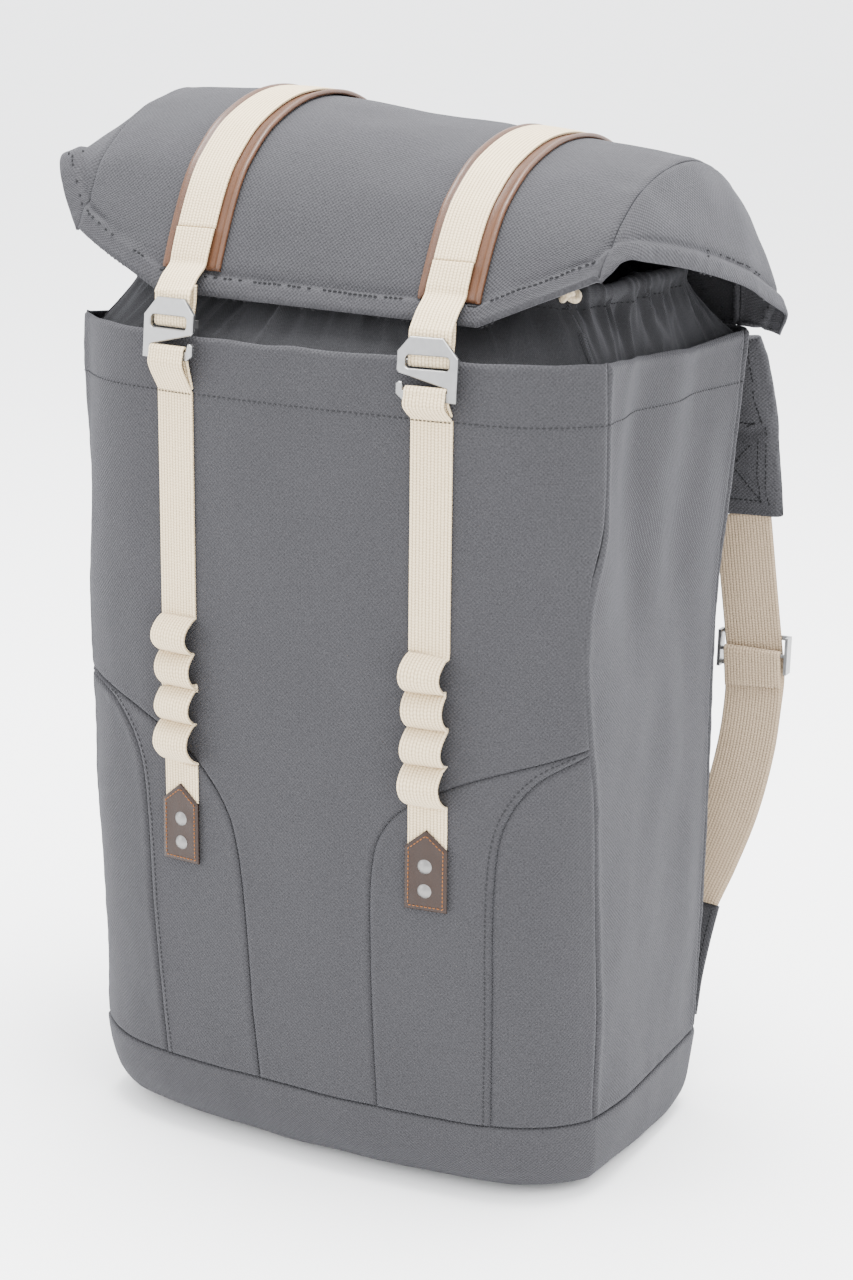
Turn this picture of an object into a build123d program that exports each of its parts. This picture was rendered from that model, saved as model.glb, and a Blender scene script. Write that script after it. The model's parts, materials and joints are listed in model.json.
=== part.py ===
from build123d import *
import math
import os

# Travel backpack of heavy cotton canvas. Millimetres, +Z up, front faces -Y, +X to the viewer's right.
# The origin is the centre of the flat base, on the surface that the bag stands on.

# ---------- driving dimensions ----------
MOUTH_Z = 500.0        # top edge of the main body
BASE_SEAM_Z = 52.0     # seam between the base band and the upper panels
CANVAS = 2.0           # canvas with its lining
FACING = 1.4           # turned-in mouth hem
HEM_Z = 471.0          # lower edge of the mouth hem, where its stitch line runs
FLAT_X = 100.0         # half width of the nearly flat middle of the front
CROWN = 6.0            # how far the middle of the front stands proud over that width
BACK_CORNER_R = 16.0
PAD_FOAM = 8.0         # foam behind the wearer's back
BOARD = 3.0            # stiffener in the base

STRAP_X = 82.0         # centre of each front strap
STRAP_TURN = 6.0       # degrees each front strap faces outwards
WEB_W = 25.0
WEB_T = 1.6
LEATHER_W = 38.0
LEATHER_T = 1.8
TACKS_Z = (338.0, 317.0, 296.0, 274.0, 250.0)   # bar tacks between the daisy-chain loops
TACK_HALF = 2.2        # half height of each tack's row of stitches
LOOP_RISE = 11.0
PATCH_Z = (186.0, 224.0, 235.0)                 # lower edge, shoulders and tip of the leather patch
PATCH_W = 26.0
RIVETS_Z = (213.0, 198.0)

HOOK_TOP_Z = {-1: 526.0, 1: 518.0}   # the packed bag leans, so the left hook sits higher
HOOK_TOP_Y = -153.0
HOOK_LEAN = 4.0
HOOK_W = 35.0
HOOK_H = 34.5
HOOK_T = 2.5
HOOK_BEVEL = 0.5
SLOT = (25.6, 7.4)
BAR_DROP = 13.8        # rear bar below the hook's top edge
BAR_R = 1.2
GAP = 0.3              # between soft surfaces of different bodies

LID_T = 2.2
LID_HALF = 165.0       # seam between the lid's top panel and its side gussets
HINGE_Z = 500.0

CORD_R = 2.5
TUNNEL_R = 4.6
PAD_W = 66.0
PAD_T = 12.0
SHOULDER_WEB_W = 38.0
SLIDER_Z = 292.0

SIDES = (("left", -1), ("right", 1))
BASE_CUTS = (-75.0, 70.0)      # Y of the two planes that divide the base band into quarters
COLLAR_CUTS = (-66.0, 56.0)    # the same for the collar
BIG = 900.0                    # wider than the whole bag, for blocks that only cut

# height, half width at the front seams, half width at the back, middle of the front, front seams, back
STATIONS = (
    (0, 148, 152, -86, -50, 74),
    (4, 158, 162, -104, -62, 81),
    (14, 164, 168, -118, -71, 86),
    (30, 167, 170, -127, -77, 88),
    (52, 168, 171, -131, -81, 89),
    (150, 168, 172, -138, -86, 89),
    (250, 168, 171, -141.5, -96, 89),
    (340, 168, 170, -145, -110, 91),
    (420, 168, 174, -147.5, -108, 95),
    (500, 168, 177, -150, -108, 101),
)


def write(name, shape):
    export_step(shape, f"parts/{name}.step")


def between(z, column):
    """A column of STATIONS at height z."""
    for low, high in zip(STATIONS, STATIONS[1:]):
        if z <= high[0]:
            share = (z - low[0]) / (high[0] - low[0])
            return low[column] + share * (high[column] - low[column])
    return STATIONS[-1][column]


def front_at_strap(z):
    """Y of the front surface on a front strap's centre line."""
    return between(z, 3) + CROWN * (STRAP_X / FLAT_X) ** 2


# ---------- the body's rounded outline ----------
def corner_points(station, inset):
    z, front_w, back_w, front, seam, back = station
    w = front_w - inset
    wb = back_w - inset
    yf = front + CROWN + inset
    yc = seam + 0.4 * inset
    yb = back - inset
    drop = yc - yf
    run = w - FLAT_X
    radius = (run * run + drop * drop) / (2 * drop)
    half_turn = math.atan2(run, radius - drop) / 2
    mid = (FLAT_X + radius * math.sin(half_turn), yf + radius - radius * math.cos(half_turn))
    r = BACK_CORNER_R
    k = r * (1 - math.sqrt(0.5))
    return {
        "seam": (w, yc, z),
        "mid": (mid[0], mid[1], z),
        "flat": (FLAT_X, yf, z),
        "front": (0, front + inset, z),
        "side_end": (wb, yb - r, z),
        "corner": (wb - k, yb - k, z),
        "back_end": (wb - r, yb, z),
    }


def flip(point):
    return (-point[0], point[1], point[2])


def front_edges(p):
    return [
        ThreePointArc(flip(p["seam"]), flip(p["mid"]), flip(p["flat"])),
        ThreePointArc(flip(p["flat"]), p["front"], p["flat"]),
        ThreePointArc(p["flat"], p["mid"], p["seam"]),
    ]


def back_edges(p):
    return [
        ThreePointArc(p["side_end"], p["corner"], p["back_end"]),
        Line(p["back_end"], flip(p["back_end"])),
        ThreePointArc(flip(p["back_end"]), flip(p["corner"]), flip(p["side_end"])),
    ]


def ring_wire(station, inset):
    p = corner_points(station, inset)
    sides = [Line(p["seam"], p["side_end"]), Line(flip(p["side_end"]), flip(p["seam"]))]
    return Wire(front_edges(p) + [sides[0]] + back_edges(p) + [sides[1]])


def filled(stations, inset):
    return Solid.make_loft([ring_wire(s, inset) for s in stations], ruled=False)


def strip_wire(edges_of, ends, station, outer, inner):
    """A closed band between two insets of one side of the outline."""
    a = corner_points(station, outer)
    b = corner_points(station, inner)
    first, last = ends
    caps = [Line(first(a), first(b)), Line(last(a), last(b))]
    return Wire(edges_of(a) + edges_of(b) + caps)


def panel(edges_of, ends, stations, outer, inner):
    wires = [strip_wire(edges_of, ends, s, outer, inner) for s in stations]
    return Solid.make_loft(wires, ruled=False)


def seam(side):
    return lambda p: p["seam"] if side > 0 else flip(p["seam"])


def side_end(side):
    return lambda p: p["side_end"] if side > 0 else flip(p["side_end"])


def side_edge(side):
    return lambda p: [Line(seam(side)(p), side_end(side)(p))]


def slab(low, high):
    return Pos(0, 0, (low + high) / 2) * Box(BIG, BIG, high - low)


def sectors(front_y, back_y):
    """Front, back, left and right quarters of a ring, cut by two planes across the bag."""
    side_y = (front_y + back_y) / 2
    depth = back_y - front_y
    return {
        "front": Pos(0, front_y - BIG / 2, 0) * Box(BIG, BIG, 2 * BIG),
        "back": Pos(0, back_y + BIG / 2, 0) * Box(BIG, BIG, 2 * BIG),
        "left": Pos(-BIG / 4, side_y, 0) * Box(BIG / 2, depth, 2 * BIG),
        "right": Pos(BIG / 4, side_y, 0) * Box(BIG / 2, depth, 2 * BIG),
    }


def ribbon(points, widths, thickness):
    """A flat strap along points, its width along X and its thickness across its run."""
    wires = []
    if not isinstance(widths, (list, tuple)):
        widths = [widths] * len(points)
    last = len(points) - 1
    for i, (x, y, z) in enumerate(points):
        before = points[max(i - 1, 0)]
        after = points[min(i + 1, last)]
        dy = after[1] - before[1]
        dz = after[2] - before[2]
        size = math.hypot(dy, dz)
        ny = -dz / size * thickness / 2
        nz = dy / size * thickness / 2
        w = widths[i] / 2
        ring = [
            (x - w, y + ny, z + nz), (x + w, y + ny, z + nz), (x + w, y - ny, z - nz), (x - w, y - ny, z - nz),
        ]
        wires.append(Polyline(*ring, close=True))
    return Solid.make_loft([Wire(w.edges()) for w in wires], ruled=True)


def mirrored(points, side):
    return [(side * x, y, z) for x, y, z in points]


upper = [s for s in STATIONS if s[0] >= BASE_SEAM_Z]
lower = [s for s in STATIONS if s[0] <= BASE_SEAM_Z]
body_solid = filled(upper, 0)


# ---------- front panel and its four appliqued pieces ----------
def front_region(side, points, edge_x):
    """Everything outside a curved seam, as a prism through the front."""
    path = [(side * x, 0, z) for x, z in points]
    curve = Spline(*path, tangents=[(-side, 0, -0.15), (0, 0, -1)])
    foot = (path[-1][0], 0, 0)
    border = Polyline(path[-1], foot, (side * edge_x, 0, 0), (side * edge_x, 0, path[0][2]), path[0])
    face = Face(Wire([curve] + list(border.edges())))
    return extrude(face, amount=200, dir=(0, -1, 0))


OUTER_SEAM = ((174, 282), (146, 271), (124, 240), (117, 205), (113, 120))
INNER_SEAM = ((174, 285), (126, 277), (96, 266), (69, 246), (50, 220), (43, 185), (41, 120))


def front_pieces():
    whole = panel(front_edges, (seam(-1), seam(1)), upper, 0, CANVAS)
    pieces = {}
    for name, side in SIDES:
        corner = front_region(side, OUTER_SEAM, 190)
        band = front_region(side, INNER_SEAM, 191)
        pieces[f"front_{name}_corner"] = whole & corner
        pieces[f"front_{name}_band"] = (whole & band) - corner
    main = whole
    for name, side in SIDES:
        main = main - front_region(side, INNER_SEAM, 191)
    pieces["front_panel"] = main
    return pieces


# ---------- front straps, patches and rivets ----------
def strap_frame(side):
    y = front_at_strap(350)
    return Pos(side * STRAP_X, y, 0) * Rot(0, 0, side * STRAP_TURN) * Pos(0, -y, 0)


def across(points_yz, width):
    """A prism whose section is a polygon in the YZ plane, centred on X."""
    ring = Polyline(*[(-width / 2, y, z) for y, z in points_yz], close=True)
    return extrude(Face(Wire(ring.edges())), amount=width, dir=(1, 0, 0))


def arched(z_high, z_low, rise, foot, width):
    """A prism under one bulge. Its crest stands rise, and its two feet stand foot, off the canvas."""
    y_high = front_at_strap(z_high)
    y_low = front_at_strap(z_low)
    inside = 6
    x = -width / 2
    start = (x, y_high - foot, z_high)
    end = (x, y_low - foot, z_low)
    crest = (x, (y_high + y_low) / 2 - rise, (z_high + z_low) / 2)
    back = Polyline(end, (x, y_low + inside, z_low), (x, y_high + inside, z_high), start)
    ring = [ThreePointArc(start, crest, end)] + list(back.edges())
    return extrude(Face(Wire(ring)), amount=width, dir=(1, 0, 0))


def flat_strap():
    """The strap where it lies flat: above the loops, and from the lowest tack to the patch."""
    inside = 5
    heights = (HEM_Z, 420, 340, PATCH_Z[2], PATCH_Z[0] + 2)
    front = [(front_at_strap(z) - WEB_T, z) for z in heights]
    back = [(front_at_strap(z) + inside, z) for z in reversed(heights)]
    return across(front + back, WEB_W) - slab(TACKS_Z[-1], TACKS_Z[0])


def front_strap(side):
    return strap_frame(side) * flat_strap() - body_solid


def gear_loops(side):
    """The strap's middle, bar-tacked to the canvas so that the one ply bulges into four loops."""
    ply = None
    for high, low in zip(TACKS_Z, TACKS_Z[1:]):
        bulge = arched(high, low, LOOP_RISE, WEB_T, WEB_W)
        bulge -= arched(high - TACK_HALF, low + TACK_HALF, LOOP_RISE - WEB_T, 0, WEB_W + 2)
        ply = bulge if ply is None else ply + bulge
    return strap_frame(side) * ply - body_solid


def patch(side):
    low, shoulder, tip = PATCH_Z
    w = PATCH_W / 2
    slope = (front_at_strap(low) - front_at_strap(tip)) / (tip - low)
    ring = Polyline((-w, 0, low), (w, 0, low), (w, 0, shoulder), (0, 0, tip), (-w, 0, shoulder), close=True)
    plate = extrude(Face(Wire(ring.edges())), amount=LEATHER_T, dir=(0, -1, 0))
    lean = Pos(0, front_at_strap(low + 2) - WEB_T, low + 2) * Rot(math.degrees(math.atan(slope)), 0, 0)
    return strap_frame(side) * lean * Pos(0, 0, -low - 2) * plate


def rivet_frame(side, z):
    return strap_frame(side) * Pos(0, front_at_strap(z) - WEB_T - LEATHER_T, z) * Rot(90, 0, 0)


def rivet_shank(side, z):
    return rivet_frame(side, z) * Pos(0, 0, -3.8) * Cylinder(1.5, 9)


def rivet(side, z):
    dome = Sphere(6.2) & Pos(0, 0, 5.3) * Box(20, 20, 2.0)
    head = Pos(0, 0, -4.0) * dome
    burr = Pos(0, 0, -WEB_T - LEATHER_T - CANVAS - 2.0) * Cylinder(4, 1)
    return (rivet_frame(side, z) * (head + burr)) + rivet_shank(side, z)


# ---------- hooks, their straps and the loops that they pull on ----------
def hook_frame(side):
    place = Pos(side * STRAP_X, HOOK_TOP_Y, HOOK_TOP_Z[side])
    return place * Rot(0, 0, side * STRAP_TURN) * Rot(-HOOK_LEAN, 0, 0)


def hook(side):
    """Cast plate hook: slotted plate, stem on the outer side, bar below and a wire bar behind."""
    w = HOOK_W / 2
    ring = [
        (-10.5, 0), (8.5, 0), (w, -10.5), (w, -HOOK_H), (-13.5, -HOOK_H), (-w, -31.5), (-w, -26.0),
        (-15.8, -24.6), (-14.2, -24.9), (-13.2, -29.3), (12, -29.3), (12, -27.0), (-16.2, -20.0), (-w, -18.5),
        (-w, -8.5),
    ]
    outline = Polyline(*[(side * x, 0, z) for x, z in ring], close=True)
    plate = extrude(Face(Wire(outline.edges())), amount=HOOK_T, dir=(0, 1, 0))
    slot_z = -10 - SLOT[1] / 2
    plate -= Pos(0, 0, slot_z) * Rot(90, 0, 0) * extrude(RectangleRounded(SLOT[0], SLOT[1], 2.2), 8, both=True)
    plate = chamfer(plate.faces().sort_by(Axis.Y)[0].edges(), HOOK_BEVEL)
    bar_y = HOOK_T + GAP + WEB_T + 0.1 + BAR_R
    bar = Pos(0, bar_y, -BAR_DROP) * Rot(0, 90, 0) * Cylinder(BAR_R, 2 * 15.6)
    for end in (-1, 1):
        ear_length = bar_y + BAR_R + 0.4 - 1
        plate += Pos(end * 15.2, 1 + ear_length / 2, -BAR_DROP) * Box(2.2, ear_length, 4.6)
    return hook_frame(side) * (plate + bar)


def hook_loop(side):
    """End of the front strap, folded round the hook's lower bar."""
    bar_top = -29.3 + GAP
    bar_low = -HOOK_H - GAP
    front = -GAP - WEB_T
    back = HOOK_T + GAP + WEB_T
    top = bar_top + 1.4
    low = HEM_Z + 0.2
    outer = [(front, top), (back + 3, top), (back + 3, bar_low - 5), (front, bar_low - 2)]
    hole = [(-GAP, bar_top), (HOOK_T + GAP, bar_top), (HOOK_T + GAP, bar_low), (-GAP, bar_low)]
    block = across(outer, WEB_W - 1.6) - across(hole, WEB_W + 2)
    foot_top = HOOK_TOP_Z[side] + bar_low + 1
    y_low = front_at_strap(low)
    foot = across(
        [(y_low - WEB_T, low), (y_low + 5, low), (y_low + 5, foot_top), (HOOK_TOP_Y + 2.2 + front, foot_top)],
        WEB_W - 1.6,
    )
    joined = hook_frame(side) * block + strap_frame(side) * foot
    keep_off = hook_frame(side) * across(hole, WEB_W + 2)
    return joined - body_solid - keep_off


def lid_strap_exit(side):
    """Where the webbing leaves the lid's stitch line: y and z of its middle."""
    profile = lid_profile(side * STRAP_X, LID_T + LEATHER_T + WEB_T / 2)
    return profile[1]


def strap_end(side):
    """Free end of the lid strap: down behind the hook, round its rear bar and up again."""
    ply_y = HOOK_T + GAP + WEB_T / 2
    bar_y = HOOK_T + GAP + WEB_T + 0.1 + BAR_R
    turn_r = BAR_R + 0.1 + WEB_T / 2
    local = [(ply_y, -2.0), (ply_y, -BAR_DROP + 2)]
    for step in range(7):
        angle = math.pi * step / 6
        local.append((bar_y - turn_r * math.cos(angle), -BAR_DROP - turn_r * math.sin(angle)))
    local += [(bar_y + turn_r, -BAR_DROP + 4), (bar_y + turn_r + 1.2, -2), (bar_y + turn_r + 1.0, 9)]
    wrap = ribbon([(0, y, z) for y, z in local], WEB_W, WEB_T)
    start = hook_frame(side) * Pos(0, ply_y, -2.0)
    exit_y, exit_z = lid_strap_exit(side)
    foot = (start.position.Y, start.position.Z)
    route = [
        (0, exit_y - 2.2 - foot[0], exit_z - 2.5),
        (0, 0.55 * (exit_y - foot[0]) - 2.5, 0.6 * exit_z + 0.4 * foot[1]),
        (0, 0.3, foot[1] + 3),
        (0, 0, foot[1] - 3),
    ]
    turned = Pos(side * STRAP_X, foot[0], 0) * Rot(0, 0, side * STRAP_TURN)
    return hook_frame(side) * wrap + turned * ribbon(route, WEB_W, WEB_T)


# ---------- the lid ----------
# y and z of the lid's outer surface over the middle, from the front hem over the top to the back seam
LID_PROFILE = (
    (-131, 524), (-122, 546), (-107, 575), (-94, 591), (-66, 610), (-20, 623), (30, 621),
    (72, 602), (98, 566), (105.5, 530), (104.5, 501.5),
)
HEM_ARCH = ((10, 30), (6, 16))   # how far the first two points move back and up towards the side seams


def lid_profile(x, lift):
    """The lid's profile at x, lifted off its inner surface. The packed lid leans down to the right."""
    tilt = -0.1 * max(x, -STRAP_X)
    arch = max(0.0, (abs(x) - STRAP_X - LEATHER_W / 2) / (LID_HALF - STRAP_X - LEATHER_W / 2))
    points = []
    for index, (y, z) in enumerate(LID_PROFILE):
        height = max(0.0, (z - HINGE_Z) / 125)
        back, up = HEM_ARCH[index] if index < len(HEM_ARCH) else (0, 0)
        points.append((y + arch * back, z + arch * up + tilt * height))
    lifted = []
    last = len(points) - 1
    for i, (y, z) in enumerate(points):
        before = points[max(i - 1, 0)]
        after = points[min(i + 1, last)]
        dy = after[0] - before[0]
        dz = after[1] - before[1]
        size = math.hypot(dy, dz)
        lifted.append((y - dz / size * lift, z + dy / size * lift))
    return lifted


def lid_band(x, low, high, first, last):
    """Closed section of a layer over the lid at x, between two lifts and two profile points."""
    a = [(x, y, z) for y, z in lid_profile(x, low)[first:last]]
    b = [(x, y, z) for y, z in lid_profile(x, high)[first:last]]
    return Wire([Spline(*a), Line(a[-1], b[-1]), Spline(*reversed(b)), Line(b[0], a[0])])


def lid_layer(stations, low, high, first=0, last=len(LID_PROFILE)):
    return Solid.make_loft([lid_band(x, low, high, first, last) for x in stations], ruled=True)


def strip_stations(side):
    edges = (-LEATHER_W / 2, -WEB_W / 2, WEB_W / 2, LEATHER_W / 2)
    return [side * STRAP_X + e for e in edges]


def lid_stations():
    return [-LID_HALF] + strip_stations(-1) + [0] + strip_stations(1) + [LID_HALF]


# lower edge of each side gusset, one point for each point of the profile: distance from the middle, height
GUSSET_HEM = {
    1: (
        (168, 551), (171, 556), (175, 560), (178, 559), (182, 555),
        (187, 546), (190, 534), (193, 521), (195, 512), (194, 506),
    ),
    -1: (
        (168, 554), (174, 563), (185, 578), (195, 592), (197, 586),
        (197, 568), (196, 550), (195, 530), (193, 515), (192, 508),
    ),
}


def gusset(side):
    """Side of the lid, from the seam on top down to the hem outside the body."""
    top = lid_profile(side * LID_HALF, LID_T)
    wires = []
    for (y, z), (hem_x, hem_z) in zip(top, GUSSET_HEM[side]):
        x0 = side * (LID_HALF + 0.2)
        x1 = side * hem_x
        low = min(hem_z, z - 3)
        inward = side * LID_T * 0.9
        ring = [(x0, y, z), (x1, y, low), (x1 - inward, y, low - 0.8), (x0, y, z - LID_T)]
        wires.append(Wire(Polyline(*ring, close=True).edges()))
    return Solid.make_loft(wires, ruled=True)


# ---------- collar and drawcord inside the mouth ----------
COLLAR_TOP = 538.0
COLLAR_RING = (COLLAR_TOP, 146, 146, -108, -76, 74)
CORD_ROUTE = (
    (129, -96), (108, -102.5), (70, -105.8), (25, -108.1), (-25, -108.1), (-70, -105.8), (-104, -102.8),
    (-128, -95.5), (-143, -79.5), (-146.4, -52), (-145.6, -14), (-146.4, 24), (-143, 53), (-128, 70), (-98, 74.3),
    (-50, 73.6), (0, 74.3), (50, 73.6), (98, 74.3), (128, 70), (143, 53), (146.4, 24), (145.6, -14), (146.4, -46),
    (144.5, -70), (137, -88),
)
KNOT = (133.5, -92.5)
KNOT_R = 7.0
TUNNEL_ENDS = 2        # points of the cord's route left bare at each end, where it comes out of the tunnel


def cord_wire(points):
    """Straight runs joined by arcs as large as the runs allow."""
    radii = []
    for a, b, c in zip(points, points[1:], points[2:]):
        shorter = min(math.dist(a, b), math.dist(b, c))
        turn = (Vector(*b) - Vector(*a)).get_angle(Vector(*c) - Vector(*b))
        radii.append(0.45 * shorter / math.tan(math.radians(turn) / 2))
    return FilletPolyline(*points, radius=radii)


def tube_along(wire, radius):
    start = Plane(origin=wire @ 0, z_dir=wire % 0)
    return sweep(start * Circle(radius), path=wire)


def cord_points():
    return [(x, y, COLLAR_TOP) for x, y in CORD_ROUTE]


def collar():
    """Gathered skirt sewn inside the mouth, leaning in to the drawcord's tunnel."""
    depth = CANVAS + FACING + 1.8
    rim = STATIONS[-1]
    base = (HEM_Z + 3,) + tuple(between(HEM_Z + 3, c) for c in range(1, 6))
    walls = []
    for inset in (0.0, 1.2):
        sections = ((base, depth + inset), (rim, depth + 4 + inset), (COLLAR_RING, inset - 0.6))
        walls.append(Solid.make_loft([ring_wire(s, i) for s, i in sections], ruled=True))
    skirt = walls[0] - walls[1]
    hidden = cord_points()[TUNNEL_ENDS:-TUNNEL_ENDS]
    tunnel = tube_along(cord_wire(hidden), TUNNEL_R)
    bore = tube_along(cord_wire(cord_points()), CORD_R + 0.2)
    knot_room = Pos(KNOT[0], KNOT[1], COLLAR_TOP) * Sphere(KNOT_R + 0.5)
    return skirt + tunnel - bore - knot_room


def drawcord():
    wire = cord_wire(cord_points())
    cord = tube_along(wire, CORD_R)
    expected = math.pi * CORD_R**2 * wire.length
    print("drawcord length", round(wire.length), "volume over section times length", round(cord.volume / expected, 4))
    return cord


def knot():
    return Pos(KNOT[0], KNOT[1], COLLAR_TOP) * (Sphere(KNOT_R) & Box(11, 14, 12))


# ---------- carrying parts ----------
PAD_ROUTE = (
    (146, 113.5, 489), (149, 118, 478), (152, 124, 460), (155, 129, 438), (157, 132, 414), (159, 133, 394),
    (160, 133, 378),
)
# straight past the adjuster, then in to the tab at the lower back corner
WEB_ROUTE = (
    (164, 133, 377.2), (170, 133, 337.5), (176.9, 133, 292), (179, 133, 278), (178.5, 132.6, 262), (176, 131, 228),
    (169, 127, 188), (159, 119.5, 152), (152, 111.6, 129.5),
)
RETURN_ROUTE = (
    (152, 109, 131), (159, 116.6, 153), (169, 124.2, 189), (176, 128.3, 228), (178.5, 130, 262), (177.2, 130.8, 284),
)
TAB_ROUTE = ((138, 93, 60), (142, 96.5, 82), (148, 105, 110), (152, 111.2, 128.5))
TAB_WIDTHS = (58, 52, 44, 40)
TAB_T = 3.2
SLIDER_X = 176.9
WEB_Y = 133.0
MIDDLE_BAR = (-0.8 - 0.2 - WEB_T - 0.1 - 1.2, 1.2)   # offset from the webbing's middle, radius
ANCHOR = (146.0, 102.2, 478.0)      # middle of the tongue behind the pad's top
ANCHOR_SIZE = (20.0, 5.2, 20.0)


def slider(side):
    """Webbing adjuster: two outer bars behind the strap and a middle bar in front of it."""
    rail_y = (MIDDLE_BAR[0] - 1.2 + 2.9) / 2
    rail_depth = 2.9 - (MIDDLE_BAR[0] - 1.2)
    rail_x = SHOULDER_WEB_W / 2 + 3.4
    rail = Box(2.0, rail_depth, 24)
    frame = Pos(-rail_x, rail_y, 0) * rail + Pos(rail_x, rail_y, 0) * rail
    for z in (-10.6, 10.6):
        frame += Pos(0, 2.0, z) * Box(2 * rail_x, 1.8, 2.8)
    frame += Pos(0, MIDDLE_BAR[0], 0) * Rot(0, 90, 0) * Cylinder(MIDDLE_BAR[1], 2 * rail_x)
    return Pos(side * SLIDER_X, WEB_Y, SLIDER_Z) * frame


def return_webbing(side):
    """Second ply, up from the tab and sewn round the adjuster's middle bar."""
    turn_r = MIDDLE_BAR[1] + 0.1 + WEB_T / 2
    points = list(RETURN_ROUTE)
    for step in range(7):
        angle = math.pi * step / 6
        y = WEB_Y + MIDDLE_BAR[0] + turn_r * math.cos(angle)
        points.append((SLIDER_X, y, SLIDER_Z + turn_r * math.sin(angle)))
    low_y = WEB_Y + MIDDLE_BAR[0] - turn_r
    points += [(SLIDER_X + 0.8, low_y, SLIDER_Z - 8), (SLIDER_X + 2, low_y + 0.4, SLIDER_Z - 22)]
    return ribbon(mirrored(points, side), SHOULDER_WEB_W, WEB_T)


def anchor(side):
    """Tongue of canvas that sews the shoulder pad to the back panel."""
    x, y, z = ANCHOR
    tongue = Pos(side * x, y, z) * Box(*ANCHOR_SIZE)
    return tongue - body_solid


HAUL_Z = 474.0
HAUL_W = 14.0          # webbing folded in half
HAUL_END = (9.0, 6.8)  # width and depth of each sewn end
HAUL_END_Y = 101.5
HAUL_HALF = ((50, 105.7), (44, 107.7), (34, 115.5), (18, 122.8), (0, 125.8))


def haul_loop():
    """Grab loop standing off the top of the back."""
    points = list(HAUL_HALF) + [(-x, y) for x, y in reversed(HAUL_HALF[:-1])]
    inner = Spline(*[(x, y, 0) for x, y in points])
    outer = Spline(*[(x * 1.04, y + 2.6, 0) for x, y in points])
    caps = [Line(inner @ 0, outer @ 0), Line(inner @ 1, outer @ 1)]
    loop = extrude(Face(Wire([inner, outer] + caps)), amount=HAUL_W)
    return Pos(0, 0, HAUL_Z - HAUL_W / 2) * loop


def haul_tabs():
    """The two sewn ends that the grab loop pulls on."""
    tabs = []
    for side in (-1, 1):
        tab = Pos(side * HAUL_HALF[0][0], HAUL_END_Y, HAUL_Z) * Box(*HAUL_END, HAUL_W - 2)
        tabs.append(tab - body_solid)
    return Compound(children=[solid for tab in tabs for solid in tab.solids()])


# ---------- the upper shell, the base and what stiffens them ----------
def shell_parts():
    parts = {}
    for name, side in SIDES:
        ends = (seam(side), side_end(side))
        parts[f"{name}_side_panel"] = panel(side_edge(side), ends, upper, 0, CANVAS)
    back_ends = (side_end(1), side_end(-1))
    parts["back_panel"] = panel(back_edges, back_ends, upper, 0, CANVAS)
    pad_in = CANVAS + PAD_FOAM
    foam = panel(back_edges, back_ends, upper, CANVAS + 0.3, pad_in)
    parts["back_foam"] = foam & (Pos(0, 90, 262) * Box(290, 90, 400))
    lining = panel(back_edges, back_ends, upper, pad_in + 0.3, pad_in + 1.3)
    parts["back_lining"] = lining & (Pos(0, 90, 262) * Box(312, 90, 412))
    hem = filled(upper, CANVAS + 0.1) - filled(upper, CANVAS + FACING)
    parts["mouth_hem"] = hem & slab(HEM_Z, MOUTH_Z)
    base_outer = filled(lower, 0)
    base_inner = Pos(0, 0, CANVAS) * filled(lower, CANVAS)
    band = (base_outer - base_inner) & slab(CANVAS, BASE_SEAM_Z)
    for name, sector in sectors(*BASE_CUTS).items():
        parts[f"{name}_base_band"] = band & sector
    parts["base_panel"] = base_outer & slab(0, CANVAS)
    board = Pos(0, 0, CANVAS) * filled(lower, CANVAS + 1)
    parts["base_board"] = board & slab(CANVAS, CANVAS + BOARD)
    return parts


def front_parts():
    parts = front_pieces()
    for name, side in SIDES:
        shanks = [rivet_shank(side, z) for z in RIVETS_Z]
        strap = front_strap(side)
        leather = patch(side)
        band = parts[f"front_{name}_band"]
        main = parts["front_panel"]
        for shank in shanks:
            strap -= shank
            leather -= shank
            band -= shank
            main -= shank
        parts[f"front_{name}_band"] = band
        parts["front_panel"] = main
        parts[f"{name}_front_strap"] = strap
        parts[f"{name}_gear_loops"] = gear_loops(side)
        parts[f"{name}_patch"] = leather
        parts[f"{name}_rivets"] = Compound(children=[rivet(side, z) for z in RIVETS_Z])
        parts[f"{name}_hook_loop"] = hook_loop(side)
    return parts


def lid_parts():
    parts = {"lid_panel": lid_layer(lid_stations(), 0, LID_T)}
    for name, side in SIDES:
        stations = strip_stations(side)
        parts[f"{name}_lid_leather"] = lid_layer(stations, LID_T + 0.05, LID_T + LEATHER_T, first=1)
        top = LID_T + LEATHER_T + 0.05
        parts[f"{name}_lid_strap"] = lid_layer(stations[1:3], top, top + WEB_T, first=1)
        parts[f"{name}_lid_gusset"] = gusset(side)
        parts[f"{name}_strap_end"] = strap_end(side)
        parts[f"{name}_hook"] = hook(side)
    return parts


def carrying_parts():
    parts = {"haul_loop": haul_loop(), "haul_loop_ends": haul_tabs()}
    for name, side in SIDES:
        parts[f"{name}_strap_anchor"] = anchor(side)
        parts[f"{name}_shoulder_pad"] = ribbon(mirrored(PAD_ROUTE, side), PAD_W, PAD_T)
        parts[f"{name}_shoulder_webbing"] = ribbon(mirrored(WEB_ROUTE, side), SHOULDER_WEB_W, WEB_T)
        parts[f"{name}_return_webbing"] = return_webbing(side)
        parts[f"{name}_slider"] = slider(side)
        parts[f"{name}_bottom_tab"] = ribbon(mirrored(TAB_ROUTE, side), TAB_WIDTHS, TAB_T)
    return parts


def main():
    os.makedirs("parts", exist_ok=True)
    parts = {}
    parts.update(shell_parts())
    parts.update(front_parts())
    parts.update(lid_parts())
    parts.update(carrying_parts())
    ring = collar()
    for name, sector in sectors(*COLLAR_CUTS).items():
        parts[f"{name}_collar"] = ring & sector
    parts["drawcord"] = drawcord()
    parts["drawcord_knot"] = knot()
    for name, shape in parts.items():
        write(name, shape)


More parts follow.
